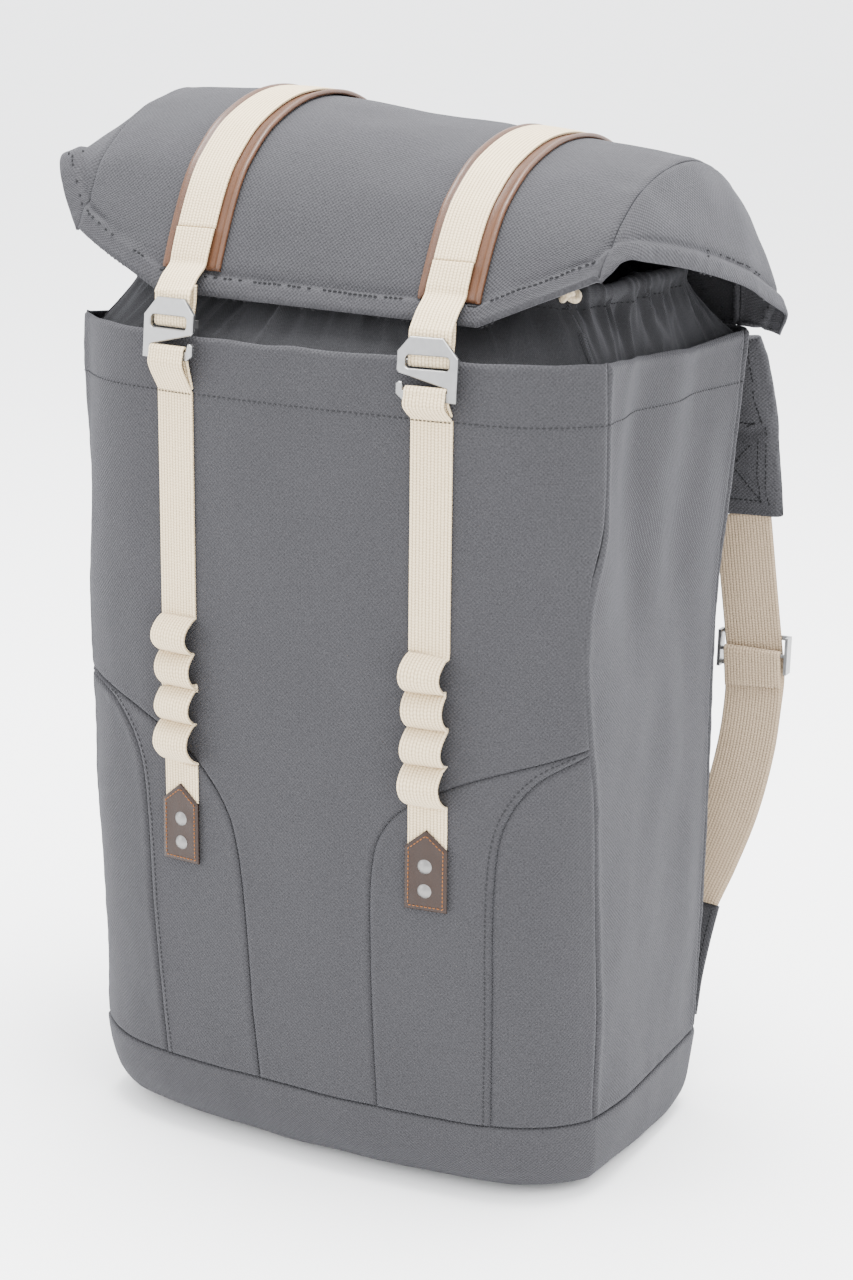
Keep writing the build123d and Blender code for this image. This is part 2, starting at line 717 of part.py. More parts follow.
if __name__ == "__main__":
    main()
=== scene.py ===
import json
import math

import bmesh
import bpy
import numpy as np
from mathutils import Matrix, Vector, noise
from mathutils.bvhtree import BVHTree
from mathutils.geometry import delaunay_2d_cdt
from mathutils.kdtree import KDTree

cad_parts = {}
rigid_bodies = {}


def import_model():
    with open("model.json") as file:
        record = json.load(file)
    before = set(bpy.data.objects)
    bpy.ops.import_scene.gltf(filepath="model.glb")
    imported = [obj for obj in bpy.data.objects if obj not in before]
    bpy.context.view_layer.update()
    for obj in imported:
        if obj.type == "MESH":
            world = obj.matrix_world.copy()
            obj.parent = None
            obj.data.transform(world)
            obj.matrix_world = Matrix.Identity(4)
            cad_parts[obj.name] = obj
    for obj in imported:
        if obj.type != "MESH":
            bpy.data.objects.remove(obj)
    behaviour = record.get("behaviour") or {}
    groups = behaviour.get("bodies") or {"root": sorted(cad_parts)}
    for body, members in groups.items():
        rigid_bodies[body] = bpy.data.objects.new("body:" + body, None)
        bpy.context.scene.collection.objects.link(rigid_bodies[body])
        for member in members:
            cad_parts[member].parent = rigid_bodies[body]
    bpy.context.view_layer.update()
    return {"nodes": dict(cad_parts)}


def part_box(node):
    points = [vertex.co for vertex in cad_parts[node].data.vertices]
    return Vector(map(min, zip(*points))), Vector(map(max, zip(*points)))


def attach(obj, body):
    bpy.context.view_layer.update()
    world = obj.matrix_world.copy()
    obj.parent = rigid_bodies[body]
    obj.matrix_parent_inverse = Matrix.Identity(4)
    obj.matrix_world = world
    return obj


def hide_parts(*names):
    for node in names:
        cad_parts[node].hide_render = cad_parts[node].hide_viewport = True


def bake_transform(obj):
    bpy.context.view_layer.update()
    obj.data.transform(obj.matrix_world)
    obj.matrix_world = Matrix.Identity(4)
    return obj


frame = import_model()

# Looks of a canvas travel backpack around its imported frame.
# Shapes are worked out in millimetres and become metres when a mesh is made.
# Each sewn panel is cut as a flat outline first and then laid on a curved surface, as real panels are.

MM = 0.001
SIDES = (("left", -1), ("right", 1))
AROUND = ("front", "back", "left", "right")

# ---------- driving dimensions ----------
# height, half width at the front seams, half width at the back, middle of the front, front seams, back
STATIONS = np.array((
    (0, 148, 152, -86, -50, 74),
    (4, 158, 162, -104, -62, 81),
    (14, 164, 168, -118, -71, 86),
    (30, 167, 170, -127, -77, 88),
    (52, 168, 171, -131, -81, 89),
    (150, 168, 172, -138, -86, 89),
    (250, 168, 171, -141.5, -96, 89),
    (340, 168, 170, -145, -110, 91),
    (420, 168, 174, -147.5, -108, 95),
    (500, 168, 177, -150, -108, 101),
    (512, 168, 177.5, -150, -108, 102),
), float)
FLAT_X = 100.0
CROWN = 6.0
BACK_CORNER_R = 16.0
BASE_SEAM_Z = 52.0
MOUTH_Z = 507.0
HEM_Z = 471.5
CANVAS = 1.5

# how far each front seam wanders from a straight line as the bag sags: height, distance along Y
SEAM_WANDER = {
    1: (
        (52, 0), (243, 0), (281, -4), (319, -7), (344, -10), (383, -9), (415, 3), (447, 8),
        (475, 5), (512, -4),
    ),
    -1: ((52, -6), (150, -8), (260, -6), (340, 4), (430, 2), (512, 2)),
}
OUTER_SEAM = {
    1: ((168, 284), (143, 268), (126, 241), (121, 205), (121, 120), (120, 52)),
    -1: ((168, 285), (137, 275), (117, 250), (111, 215), (107, 140), (101, 52)),
}
INNER_SEAM = {
    1: ((168, 287), (126, 273), (94, 260), (62, 240), (48, 214), (46, 150), (49, 52)),
    -1: ((168, 288), (126, 278), (96, 266), (66, 244), (46, 212), (38, 150), (32, 52)),
}

STRAP_X = 82.0
STRAP_TURN = math.radians(6)
WEB_W = 25.0
WEB_T = 1.6
LEATHER_W = 38.0
TACKS_Z = (338.0, 317.0, 296.0, 274.0, 250.0)
LOOP_RISE = 11.0
LOOP_UNEVEN = (0.8, -0.6, 0.3, 0.9)
PATCH_LOW, PATCH_SHOULDER, PATCH_TIP = 186.0, 224.0, 235.0
PATCH_W = 26.0
LEATHER_T = 1.8

HOOK_TOP_Y = -153.0
HOOK_LEAN = math.radians(4)
HOOK_T = 2.5
HOOK_BAR_TOP, HOOK_BAR_LOW = -29.3, -34.5
REAR_BAR_DROP, REAR_BAR_R = 13.8, 1.2
GAP = 0.3

# the lid's inner surface over the middle, y and z, from the front hem over the top to the back seam
LID_PROFILE = np.array((
    (-131, 524), (-122, 546), (-107, 575), (-94, 591), (-66, 610), (-20, 623), (30, 621),
    (72, 602), (98, 566), (105.5, 530), (104.5, 501.5),
), float)
HEM_ARCH = ((10, 30), (6, 16))
LID_HALF = 165.0
LID_T = 2.2
LID_HEM = 12.5
HINGE_Z = 500.0
# lower edge of each gusset, one point for each point of the profile: distance from the middle, height
GUSSET_HEM = {
    1: (
        (166.5, 552), (171, 556), (175, 560), (178, 559), (182, 555),
        (187, 546), (190, 534), (193, 521), (195, 512), (194, 506), (192, 499),
    ),
    -1: (
        (166.5, 555), (174, 563), (185, 578), (195, 592), (197, 586),
        (197, 568), (196, 550), (195, 530), (193, 515), (192, 508), (190, 500),
    ),
}

COLLAR_TOP = 538.0
CORD_D = 5.0
CORD_ROUTE = (
    (129, -96), (108, -102.5), (70, -105.8), (25, -108.1), (-25, -108.1), (-70, -105.8), (-104, -102.8),
    (-128, -95.5), (-143, -79.5), (-146.4, -52), (-145.6, -14), (-146.4, 24), (-143, 53),
    (-128, 70), (-98, 74.3),
    (-50, 73.6), (0, 74.3), (50, 73.6), (98, 74.3), (128, 70), (143, 53), (146.4, 24),
    (145.6, -14), (146.4, -46),
    (144.5, -70), (137, -88),
)
KNOT = (133.5, -92.5)
KNOT_SHIFT = (5.0, 1.0)   # how far the knot sits outside the collar and above its top
KNOT_SIZE = 1.75
KNOT_CORD_R = 2.1

PAD_ROUTE = (
    (146, 113.5, 489), (149, 118, 478), (152, 124, 460), (155, 129, 438), (157, 132, 414), (159, 133, 394),
    (160, 133, 378),
)
PAD_W = 66.0
PAD_T = 12.0
SHOULDER_WEB_W = 38.0
WEB_ROUTE = (
    (163, 133, 381), (164, 133, 377.2), (170, 133, 337.5), (176.9, 133, 292), (179, 133, 278),
    (178.5, 132.6, 262),
    (176, 131, 228), (169, 127, 188), (159, 119.5, 152), (152, 111.6, 129.5), (151.4, 110.2, 126),
)
RETURN_ROUTE = (
    (151.6, 107.9, 127.5), (152, 109, 131), (159, 116.6, 153), (169, 124.2, 189),
    (176, 128.3, 228), (178.5, 130, 262),
    (177.2, 130.8, 284),
)
TAB_ROUTE = ((138, 93, 60), (142, 96.5, 82), (148, 105, 110), (152, 111.2, 128.5))
TAB_WIDTHS = (58, 52, 44, 40)
SLIDER = (176.9, 133.0, 292.0)
SLIDER_BAR = (-3.7, 1.2)   # middle bar: offset along Y from the webbing, radius
HAUL_Z = 474.0
HAUL_W = 14.0
HAUL_T = 2.4
HAUL_HALF = ((50, 107.0), (44, 109.0), (34, 117.0), (18, 124.3), (0, 127.3))


# ---------- curves and noise ----------
def cols(*parts):
    """Columns side by side. A single number fills its column."""
    return np.stack(np.broadcast_arrays(*parts), axis=1)


def weights(keys, at):
    """Weights of a smooth curve through values given at keys, one row for each place asked for."""
    keys = np.asarray(keys, float)
    at = np.clip(np.atleast_1d(np.asarray(at, float)), keys[0], keys[-1])
    count = len(keys)
    slope = np.zeros((count, count))
    for i in range(count):
        low = max(i - 1, 0)
        high = min(i + 1, count - 1)
        slope[i, high] += 1 / (keys[high] - keys[low])
        slope[i, low] -= 1 / (keys[high] - keys[low])
    i = np.clip(np.searchsorted(keys, at, side="right") - 1, 0, count - 2)
    span = keys[i + 1] - keys[i]
    u = (at - keys[i]) / span
    one = np.eye(count)
    start = ((1 + 2 * u) * (1 - u) ** 2)[:, None] * one[i]
    leave = (u * (1 - u) ** 2 * span)[:, None] * slope[i]
    end = (u * u * (3 - 2 * u))[:, None] * one[i + 1]
    arrive = (u * u * (u - 1) * span)[:, None] * slope[i + 1]
    return start + leave + end + arrive


def through(pairs, at):
    """A smooth function through (key, value) pairs."""
    pairs = np.asarray(pairs, float)
    return weights(pairs[:, 0], at) @ pairs[:, 1]


def chords(points):
    steps = np.linalg.norm(np.diff(np.asarray(points, float), axis=0), axis=1)
    return np.concatenate([[0.0], np.cumsum(steps)])


def curve(points, step):
    """A smooth line through points, with a point about every step millimetres."""
    points = np.asarray(points, float)
    keys = chords(points)
    count = max(2, int(round(keys[-1] / step)) + 1)
    return weights(keys, np.linspace(0, keys[-1], count)) @ points


def ease(low, high, value):
    t = np.clip((value - low) / (high - low), 0, 1)
    return t * t * (3 - 2 * t)


def bumps(points, size, seed):
    """Smooth noise from about -1 to 1 at each point, with lumps about size millimetres wide."""
    size = np.broadcast_to(np.asarray(size, float), (3,))
    moved = points / size + np.array((17.3, 5.1, -9.7)) * seed
    return np.array([noise.noise(Vector(p)) for p in moved])


def unit(vectors):
    return vectors / np.maximum(np.linalg.norm(vectors, axis=-1, keepdims=True), 1e-9)


# ---------- surfaces that panels are laid on ----------
class Skin:
    """A smooth sheet that takes flat millimetres to points, with its outward side known."""

    def __init__(self, place, hand=1, relief=None):
        self.place = place
        self.hand = hand
        self.relief = relief

    def normals(self, flat):
        step = 0.5
        along = self.place(flat + (step, 0)) - self.place(flat - (step, 0))
        up = self.place(flat + (0, step)) - self.place(flat - (0, step))
        return unit(np.cross(along, up)) * self.hand

    def at(self, flat, lift=0.0):
        flat = np.asarray(flat, float)
        points = self.place(flat)
        height = np.broadcast_to(lift, len(points))
        if self.relief is not None:
            height = height + self.relief(points)
        return points + self.normals(flat) * height[:, None]


def station(z, side):
    row = weights(STATIONS[:, 0], z) @ STATIONS[:, 1:]
    wander = np.where(np.asarray(side) > 0, through(SEAM_WANDER[1], z), through(SEAM_WANDER[-1], z))
    return row[:, 0], row[:, 1], row[:, 2], row[:, 3] + wander, row[:, 4]


def corner_arc(z, side):
    """Radius of the front corner and how far the front reaches round it, in flat millimetres."""
    half, _, front, seam, _ = station(z, side)
    drop = seam - front - CROWN
    run = half - FLAT_X
    radius = (run * run + drop * drop) / (2 * drop)
    return radius, FLAT_X + radius * np.arcsin(np.clip(run / radius, -1, 1))


def front_place(flat):
    a, z = flat[:, 0], flat[:, 1]
    side = np.where(a < 0, -1, 1)
    front = station(z, side)[2]
    radius, reach = corner_arc(z, side)
    beyond = np.maximum(np.abs(a) - FLAT_X, 0)
    turn = beyond / radius
    share = np.clip(beyond / (reach - FLAT_X), 0, 1)
    level = np.minimum(np.abs(a), FLAT_X)
    x = level + radius * np.sin(turn)
    y = front + CROWN * (level / FLAT_X) ** 2 + radius * (1 - np.cos(turn))
    y = y + 2 * CROWN / FLAT_X * beyond * (1 - share) ** 2
    return cols(side * x, y, z)


def front_flat(x, z, side):
    """Flat coordinate across the front of a point x millimetres from the middle."""
    radius, _ = corner_arc(z, side)
    beyond = np.clip((np.abs(x) - FLAT_X) / radius, 0, 1)
    return side * np.where(np.abs(x) <= FLAT_X, np.abs(x), FLAT_X + radius * np.arcsin(beyond))


def side_span(z, side):
    half, wide, _, seam, back = station(z, side)
    start = cols(half, seam)
    return start, cols(wide, back - BACK_CORNER_R) - start


def side_length(z, side):
    return np.linalg.norm(side_span(z, side)[1], axis=1)


def side_place(side):
    def place(flat):
        start, run = side_span(flat[:, 1], side)
        length = np.linalg.norm(run, axis=1)
        spot = start + run * (flat[:, 0] / length)[:, None]
        return cols(side * spot[:, 0], spot[:, 1], flat[:, 1])
    return place


def back_reach(z):
    return station(z, 1)[1] - BACK_CORNER_R + BACK_CORNER_R * math.pi / 2


def back_place(flat):
    a, z = flat[:, 0], flat[:, 1]
    _, wide, _, _, back = station(z, 1)
    level = wide - BACK_CORNER_R
    turn = np.maximum(np.abs(a) - level, 0) / BACK_CORNER_R
    x = np.minimum(np.abs(a), level) + BACK_CORNER_R * np.sin(turn)
    y = back - BACK_CORNER_R * (1 - np.cos(turn))
    return cols(-np.sign(a) * x, y, z)


def sack_relief(points):
    """Soft dents of a stuffed canvas sack. The fabric is held flat under the front straps."""
    height = 2.2 * bumps(points, 95, 1) + 1.2 * bumps(points, (38, 38, 60), 2) + 0.25 * bumps(points, 14, 3)
    on_front = ease(-95, -120, points[:, 1])
    from_strap = np.abs(np.abs(points[:, 0]) - STRAP_X)
    calm = 1 - on_front * (1 - ease(14, 40, from_strap))
    on_side = ease(158, 168, np.abs(points[:, 0])) * ease(85, 40, points[:, 1])
    upper = ease(260, 430, points[:, 2])
    folds = bumps(points, (70, 55, 110), 5) * 7.0 + bumps(points, (45, 30, 90), 6) * 1.6
    sag = 2.5 * ease(240, 90, points[:, 2]) - 4.0 * upper
    return height * calm + on_side * (folds * (0.3 + 0.7 * upper) + sag * ease(-95, -40, points[:, 1]))


FRONT = Skin(front_place, 1, sack_relief)
SIDE = {side: Skin(side_place(side), side, sack_relief) for _, side in SIDES}


def back_relief(points):
    return 0.8 * bumps(points, 80, 1) + 0.25 * bumps(points, 16, 3)


BACK = Skin(back_place, 1, back_relief)


# ---------- the lid's surfaces ----------
LID_KEYS = chords(LID_PROFILE)
LID_END = LID_KEYS[-1]


def lid_controls(x):
    """The profile's points at each x: the hem arches up towards the sides and the lid leans to the right."""
    arch = np.maximum(0, (np.abs(x) - STRAP_X - LEATHER_W / 2) / (LID_HALF - STRAP_X - LEATHER_W / 2))
    tilt = -0.1 * np.maximum(x, -STRAP_X)
    shoulder = np.maximum(0, (np.abs(x) - 138) / (LID_HALF - 138)) ** 2
    points = np.repeat(LID_PROFILE[None], len(x), axis=0)
    height = np.clip((points[..., 1] - HINGE_Z) / 125, 0, None)
    points[..., 1] += tilt[:, None] * height
    for index, (back, up) in enumerate(HEM_ARCH):
        points[:, index, 0] += arch * back
        points[:, index, 1] += arch * up
    middle = points.mean(axis=1, keepdims=True)
    return points + (middle - points) * (shoulder * 0.035)[:, None, None]


def lid_place(flat):
    x = np.clip(flat[:, 0], -LID_HALF - 1, LID_HALF + 1)
    spot = np.einsum("nk,nkd->nd", weights(LID_KEYS, flat[:, 1]), lid_controls(x))
    overrun = np.maximum(0, -flat[:, 1]) + np.minimum(0, LID_END - flat[:, 1])
    return cols(flat[:, 0], spot[:, 0], spot[:, 1] - overrun)


def gusset_edges(t, side):
    seam = lid_place(cols(side * LID_HALF, t))
    hem = weights(LID_KEYS, t) @ np.array([(side * x, z) for x, z in GUSSET_HEM[side]])
    hem = cols(hem[:, 0], seam[:, 1], np.minimum(hem[:, 1], seam[:, 2] - 1.5))
    return seam, hem


def gusset_length(t, side):
    seam, hem = gusset_edges(np.atleast_1d(t), side)
    return np.linalg.norm(hem - seam, axis=1)


def gusset_place(side):
    def place(flat):
        seam, hem = gusset_edges(flat[:, 0], side)
        length = np.linalg.norm(hem - seam, axis=1)
        share = flat[:, 1] / length
        spot = seam + (hem - seam) * share[:, None]
        bulge = 0.11 * length * np.sin(math.pi * np.clip(share, 0, 1)) * (1 - 0.3 * share)
        spot[:, 0] += side * bulge
        spot[:, 2] += bulge * 0.4
        return spot
    return place


def hem_line():
    """The lid's whole lower edge, from the left back corner round the front to the right back corner."""
    step = 2.0
    count = int(LID_END / step)
    t = np.linspace(0, LID_END, count)
    x = np.linspace(-LID_HALF, LID_HALF, int(2 * LID_HALF / step))
    left = gusset_edges(t[::-1], -1)[1]
    front = lid_place(cols(x, 0.0))
    right = gusset_edges(t, 1)[1]
    line = np.concatenate([left[:-2], front[2:-2], right[2:]])
    return curve(line[::3], step)


def near(line):
    tree = KDTree(len(line))
    for index, point in enumerate(line):
        tree.insert(point, index)
    tree.balance()
    return tree


HEM_LINE = hem_line()
HEM_TREE = near(HEM_LINE)


def lid_relief(points):
    """Dents of the lid: flat under its straps, folded near its corners, with a doubled band along its hem."""
    height = 2.3 * bumps(points, 85, 11) + 1.4 * bumps(points, (45, 30, 30), 12)
    height = height + 0.22 * bumps(points, 13, 13)
    from_strap = np.abs(np.abs(points[:, 0]) - STRAP_X)
    calm = ease(16, 44, from_strap)
    to_hem = np.array([HEM_TREE.find(p)[2] for p in points])
    at_corner = ease(120, 170, np.abs(points[:, 0])) * ease(90, 20, to_hem)
    folds = 2.2 * bumps(points, (26, 60, 34), 14) * at_corner
    past_seam = to_hem - LID_HEM
    band = 2.0 * ease(0.4, -3.0, past_seam)
    pull = 0.85 * ease(3.2, 0.2, past_seam) * ease(-2.6, -0.2, past_seam)
    return LID_T + height * calm + folds + band - pull


LID = Skin(lid_place, 1, lid_relief)
GUSSET = {side: Skin(gusset_place(side), -side, lid_relief) for _, side in SIDES}


# ---------- meshes ----------
def make_piece(name, points, faces, flat=None, closed=False):
    """A mesh object. flat gives each point's place on its cut cloth, which the weave follows."""
    mesh = bpy.data.meshes.new(name)
    mesh.from_pydata([tuple(p) for p in np.asarray(points) * MM], [], [tuple(f) for f in faces])
    if flat is not None:
        corners = np.zeros(len(mesh.loops), int)
        mesh.loops.foreach_get("vertex_index", corners)
        layer = mesh.uv_layers.new(name="weave")
        layer.data.foreach_set("uv", (np.asarray(flat)[corners] * MM).ravel())
    if closed:
        edit = bmesh.new()
        edit.from_mesh(mesh)
        bmesh.ops.recalc_face_normals(edit, faces=edit.faces)
        edit.to_mesh(mesh)
        edit.free()
    mesh.shade_smooth()
    piece = bpy.data.objects.new(name, mesh)
    bpy.context.scene.collection.objects.link(piece)
    return piece


def ring_faces(rows, around, wrap=False):
    """Faces between closed rows of points. wrap joins the last row to the first."""
    faces = []
    for i in range(rows if wrap else rows - 1):
        first, second = i * around, (i + 1) % rows * around
        for j in range(around):
            k = (j + 1) % around
            faces.append((first + j, first + k, second + k, second + j))
    return faces


def caps(rows, around):
    """The two end faces of a tube."""
    last = (rows - 1) * around
    return [tuple(range(around))[::-1], tuple(range(last, last + around))]


def belongs(piece, body, look, nodes=()):
    piece.data.materials.append(look)
    if body is not None:
        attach(piece, body)
    if nodes:
        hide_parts(*nodes)
    return piece


def sewn(piece, *nodes, body="bag"):
    """A piece of the bag's own grey canvas."""
    return belongs(piece, body, GREY, nodes)


def thicken(piece, thickness):
    shell = piece.modifiers.new("thickness", "SOLIDIFY")
    shell.thickness = thickness * MM
    shell.offset = -1
    return piece


def edge_distance(points, loop):
    """Distance of each flat point from a closed flat outline."""
    run = np.roll(loop, -1, axis=0) - loop
    size = np.maximum((run * run).sum(axis=1), 1e-9)
    best = np.empty(len(points))
    for first in range(0, len(points), 2000):
        part = points[first:first + 2000]
        away = part[:, None] - loop[None]
        share = np.clip((away * run[None]).sum(axis=2) / size, 0, 1)
        gap = away - share[..., None] * run[None]
        best[first:first + 2000] = np.sqrt((gap * gap).sum(axis=2)).min(axis=1)
    return best


def inside(points, loop):
    """True for each flat point inside a closed outline."""
    x, y = points[:, 0][:, None], points[:, 1][:, None]
    x0, y0 = loop[:, 0][None], loop[:, 1][None]
    x1, y1 = np.roll(loop[:, 0], -1)[None], np.roll(loop[:, 1], -1)[None]
    rise = np.where(y1 == y0, 1e-9, y1 - y0)
    crosses = ((y0 > y) != (y1 > y)) & (x < (x1 - x0) * (y - y0) / rise + x0)
    return crosses.sum(axis=1) % 2 == 1


EDGE_ROWS = (0.7, 1.6, 2.8, 4.2, 6.0, 8.5, 10.6, 12.0, 13.4, 15.2)


def fill_outline(outline, spacing):
    """Points and triangles that fill a flat outline, with rows of points along its edge."""
    loop = np.asarray(outline, float)
    around = np.roll(loop, -1, axis=0) - np.roll(loop, 1, axis=0)
    inward = unit(cols(-around[:, 1], around[:, 0]))
    area = (loop[:, 0] * np.roll(loop[:, 1], -1) - np.roll(loop[:, 0], -1) * loop[:, 1]).sum()
    if area < 0:
        inward = -inward
    rows = [loop]
    for depth in EDGE_ROWS:
        row = loop + inward * depth
        keep = (edge_distance(row, loop) > 0.9 * depth) & inside(row, loop)
        rows.append(row[keep])
    low, high = loop.min(axis=0), loop.max(axis=0)
    across = np.arange(low[0], high[0], spacing)
    up = np.arange(low[1], high[1], spacing * 0.866)
    grid = np.stack(np.meshgrid(across, up), axis=2)
    grid[1::2, :, 0] += spacing / 2
    grid = grid.reshape(-1, 2)
    grid = grid[inside(grid, loop)]
    grid = grid[edge_distance(grid, loop) > EDGE_ROWS[-1] + 0.6 * spacing]
    points = np.concatenate(rows + [grid])
    edges = [(i, (i + 1) % len(loop)) for i in range(len(loop))]
    found = delaunay_2d_cdt([Vector(p) for p in points], edges, [], 1, 1e-4)
    points = np.array([tuple(p) for p in found[0]])
    faces = np.array(found[2])
    used, faces = np.unique(faces, return_inverse=True)
    return points[used], faces.reshape(-1, 3)


def panel(name, skin, outline, spacing=4.0, tuck=1.3, ridge=0.45, thickness=CANVAS, lift=0.0, extra=None):
    """A cut panel laid on a skin. Its edge dives into the seam, beside a ridge over the seam allowance."""
    flat, faces = fill_outline(outline, spacing)
    depth = edge_distance(flat, np.asarray(outline, float))
    pucker = bumps(cols(flat[:, 0], flat[:, 1], 0.0), 7.5, 21)
    height = lift - tuck * np.exp(-((depth / 1.1) ** 2)) + ridge * np.exp(-(((depth - 3.6) / 2.4) ** 2))
    height = height + 0.35 * pucker * np.exp(-(((depth - 4.5) / 4.0) ** 2))
    if extra is not None:
        height = height + extra(flat)
    if skin.hand < 0:
        faces = faces[:, ::-1]
    return thicken(make_piece(name, skin.at(flat, height), faces, flat), thickness)


def loop_of(*lines):
    """One closed outline from lines laid end to end, without the doubled corners."""
    points = np.concatenate([np.asarray(line, float) for line in lines])
    keep = np.linalg.norm(points - np.roll(points, 1, axis=0), axis=1) > 0.35
    return points[keep]


def straight(start, end, step=2.0):
    count = max(2, int(math.dist(start, end) / step) + 1)
    return np.linspace(start, end, count)


def polygon(corners, step):
    """A closed outline with straight edges."""
    return loop_of(*[straight(a, b, step) for a, b in zip(corners, corners[1:] + corners[:1])])


def rectangle(half, low, high, step):
    return polygon(((-half, low), (half, low), (half, high), (-half, high)), step)


def sweep(name, spine, across, section):
    """A closed section carried along a spine. Section points are (across, out)."""
    spine = np.asarray(spine, float)
    along = unit(np.gradient(spine, axis=0))
    across = np.broadcast_to(np.asarray(across, float), spine.shape)
    across = unit(across - (across * along).sum(axis=1, keepdims=True) * along)
    out = np.cross(along, across)
    section = np.asarray(section, float)
    if section.ndim == 2:
        section = np.repeat(section[None], len(spine), axis=0)
    rings, sides = section.shape[:2]
    points = spine[:, None] + across[:, None] * section[..., :1] + out[:, None] * section[..., 1:]
    run = chords(spine)
    flat = np.stack([section[..., 0], np.repeat(run[:, None], sides, axis=1)], axis=2)
    faces = ring_faces(rings, sides) + caps(rings, sides)
    return make_piece(name, points.reshape(-1, 3), faces, flat.reshape(-1, 2), closed=True)


def band_section(width, thickness, cells=8, bow=0.0):
    """Section of webbing: flat with rounded edges. bow lifts its middle."""
    half = width / 2
    r = thickness / 2
    level = np.linspace(-half + r, half - r, cells + 1)
    arc = bow * (1 - (level / half) ** 2)
    top = [(x, thickness + b) for x, b in zip(level, arc)]
    low = [(x, b) for x, b in zip(level, arc)][::-1]
    turn = (math.radians(45), 0, math.radians(-45))
    right = [(half - r + r * math.cos(t), r + r * math.sin(t)) for t in turn]
    left = [(-x, y) for x, y in right][::-1]
    return np.array(top + right + low + left)


# ---------- stitching ----------
def solid_tree(pieces):
    """Search tree of finished pieces, with their thickness."""
    corners, faces = [], []
    graph = bpy.context.evaluated_depsgraph_get()
    for piece in pieces:
        shown = piece.evaluated_get(graph)
        mesh = shown.to_mesh()
        first = len(corners)
        corners += [v.co / MM for v in mesh.vertices]
        faces += [[first + i for i in p.vertices] for p in mesh.polygons]
        shown.to_mesh_clear()
    return BVHTree.FromPolygons(corners, faces)


STITCH_RINGS = ((-0.5, 0.05), (-0.42, 0.7), (-0.15, 1.0), (0.15, 1.0), (0.42, 0.7), (0.5, 0.05))
STITCH_SIDES = 6
STITCH_DIVE = 1.1
STITCH_PROUD = 0.75     # share of its girth that a stitch stands above the cloth


def stitch_shape():
    """One stitch along X, one long and one thick, whose ends dive into the cloth."""
    points = []
    for along, girth in STITCH_RINGS:
        dive = STITCH_DIVE * (abs(along) * 2) ** 3
        for j in range(STITCH_SIDES):
            angle = 2 * math.pi * j / STITCH_SIDES
            points.append((along, girth * math.cos(angle), girth * math.sin(angle) - dive))
    rings = len(STITCH_RINGS)
    faces = [(face[0], *face[:0:-1]) for face in ring_faces(rings, STITCH_SIDES)]
    faces += [face[::-1] for face in caps(rings, STITCH_SIDES)]
    return np.array(points), faces


STITCH_POINTS, STITCH_FACES = stitch_shape()


def snap(tree, point):
    found = tree.find_nearest(Vector(point))
    return np.array(found[0]), np.array(found[1])


def stitches(name, lines, tree, body, slot, look, inset=0.0, pitch=3.2, length=2.3, girth=0.34, rise=0.0):
    """Rows of thread along lines, moved sideways over the cloth by inset, lying on the cloth."""
    points, faces = [], []
    for line in lines:
        line = np.asarray(line, float)
        line = weights(chords(line), np.arange(0, chords(line)[-1], pitch)) @ line
        along = unit(np.gradient(line, axis=0))
        for spot, way in zip(line, along):
            ground, normal = snap(tree, spot)
            if inset:
                ground, normal = snap(tree, ground + unit(np.cross(normal, way)) * inset)
            way = unit(way - normal * (way @ normal))
            cross = np.cross(normal, way)
            local = STITCH_POINTS * (length, girth, girth)
            height = local[:, 2:] + girth * STITCH_PROUD + rise
            placed = ground + local[:, :1] * way + local[:, 1:2] * cross + height * normal
            first = len(points) * len(STITCH_POINTS)
            points.append(placed)
            faces += [[first + i for i in f] for f in STITCH_FACES]
    return belongs(make_piece(name, np.concatenate(points), faces), body, look)


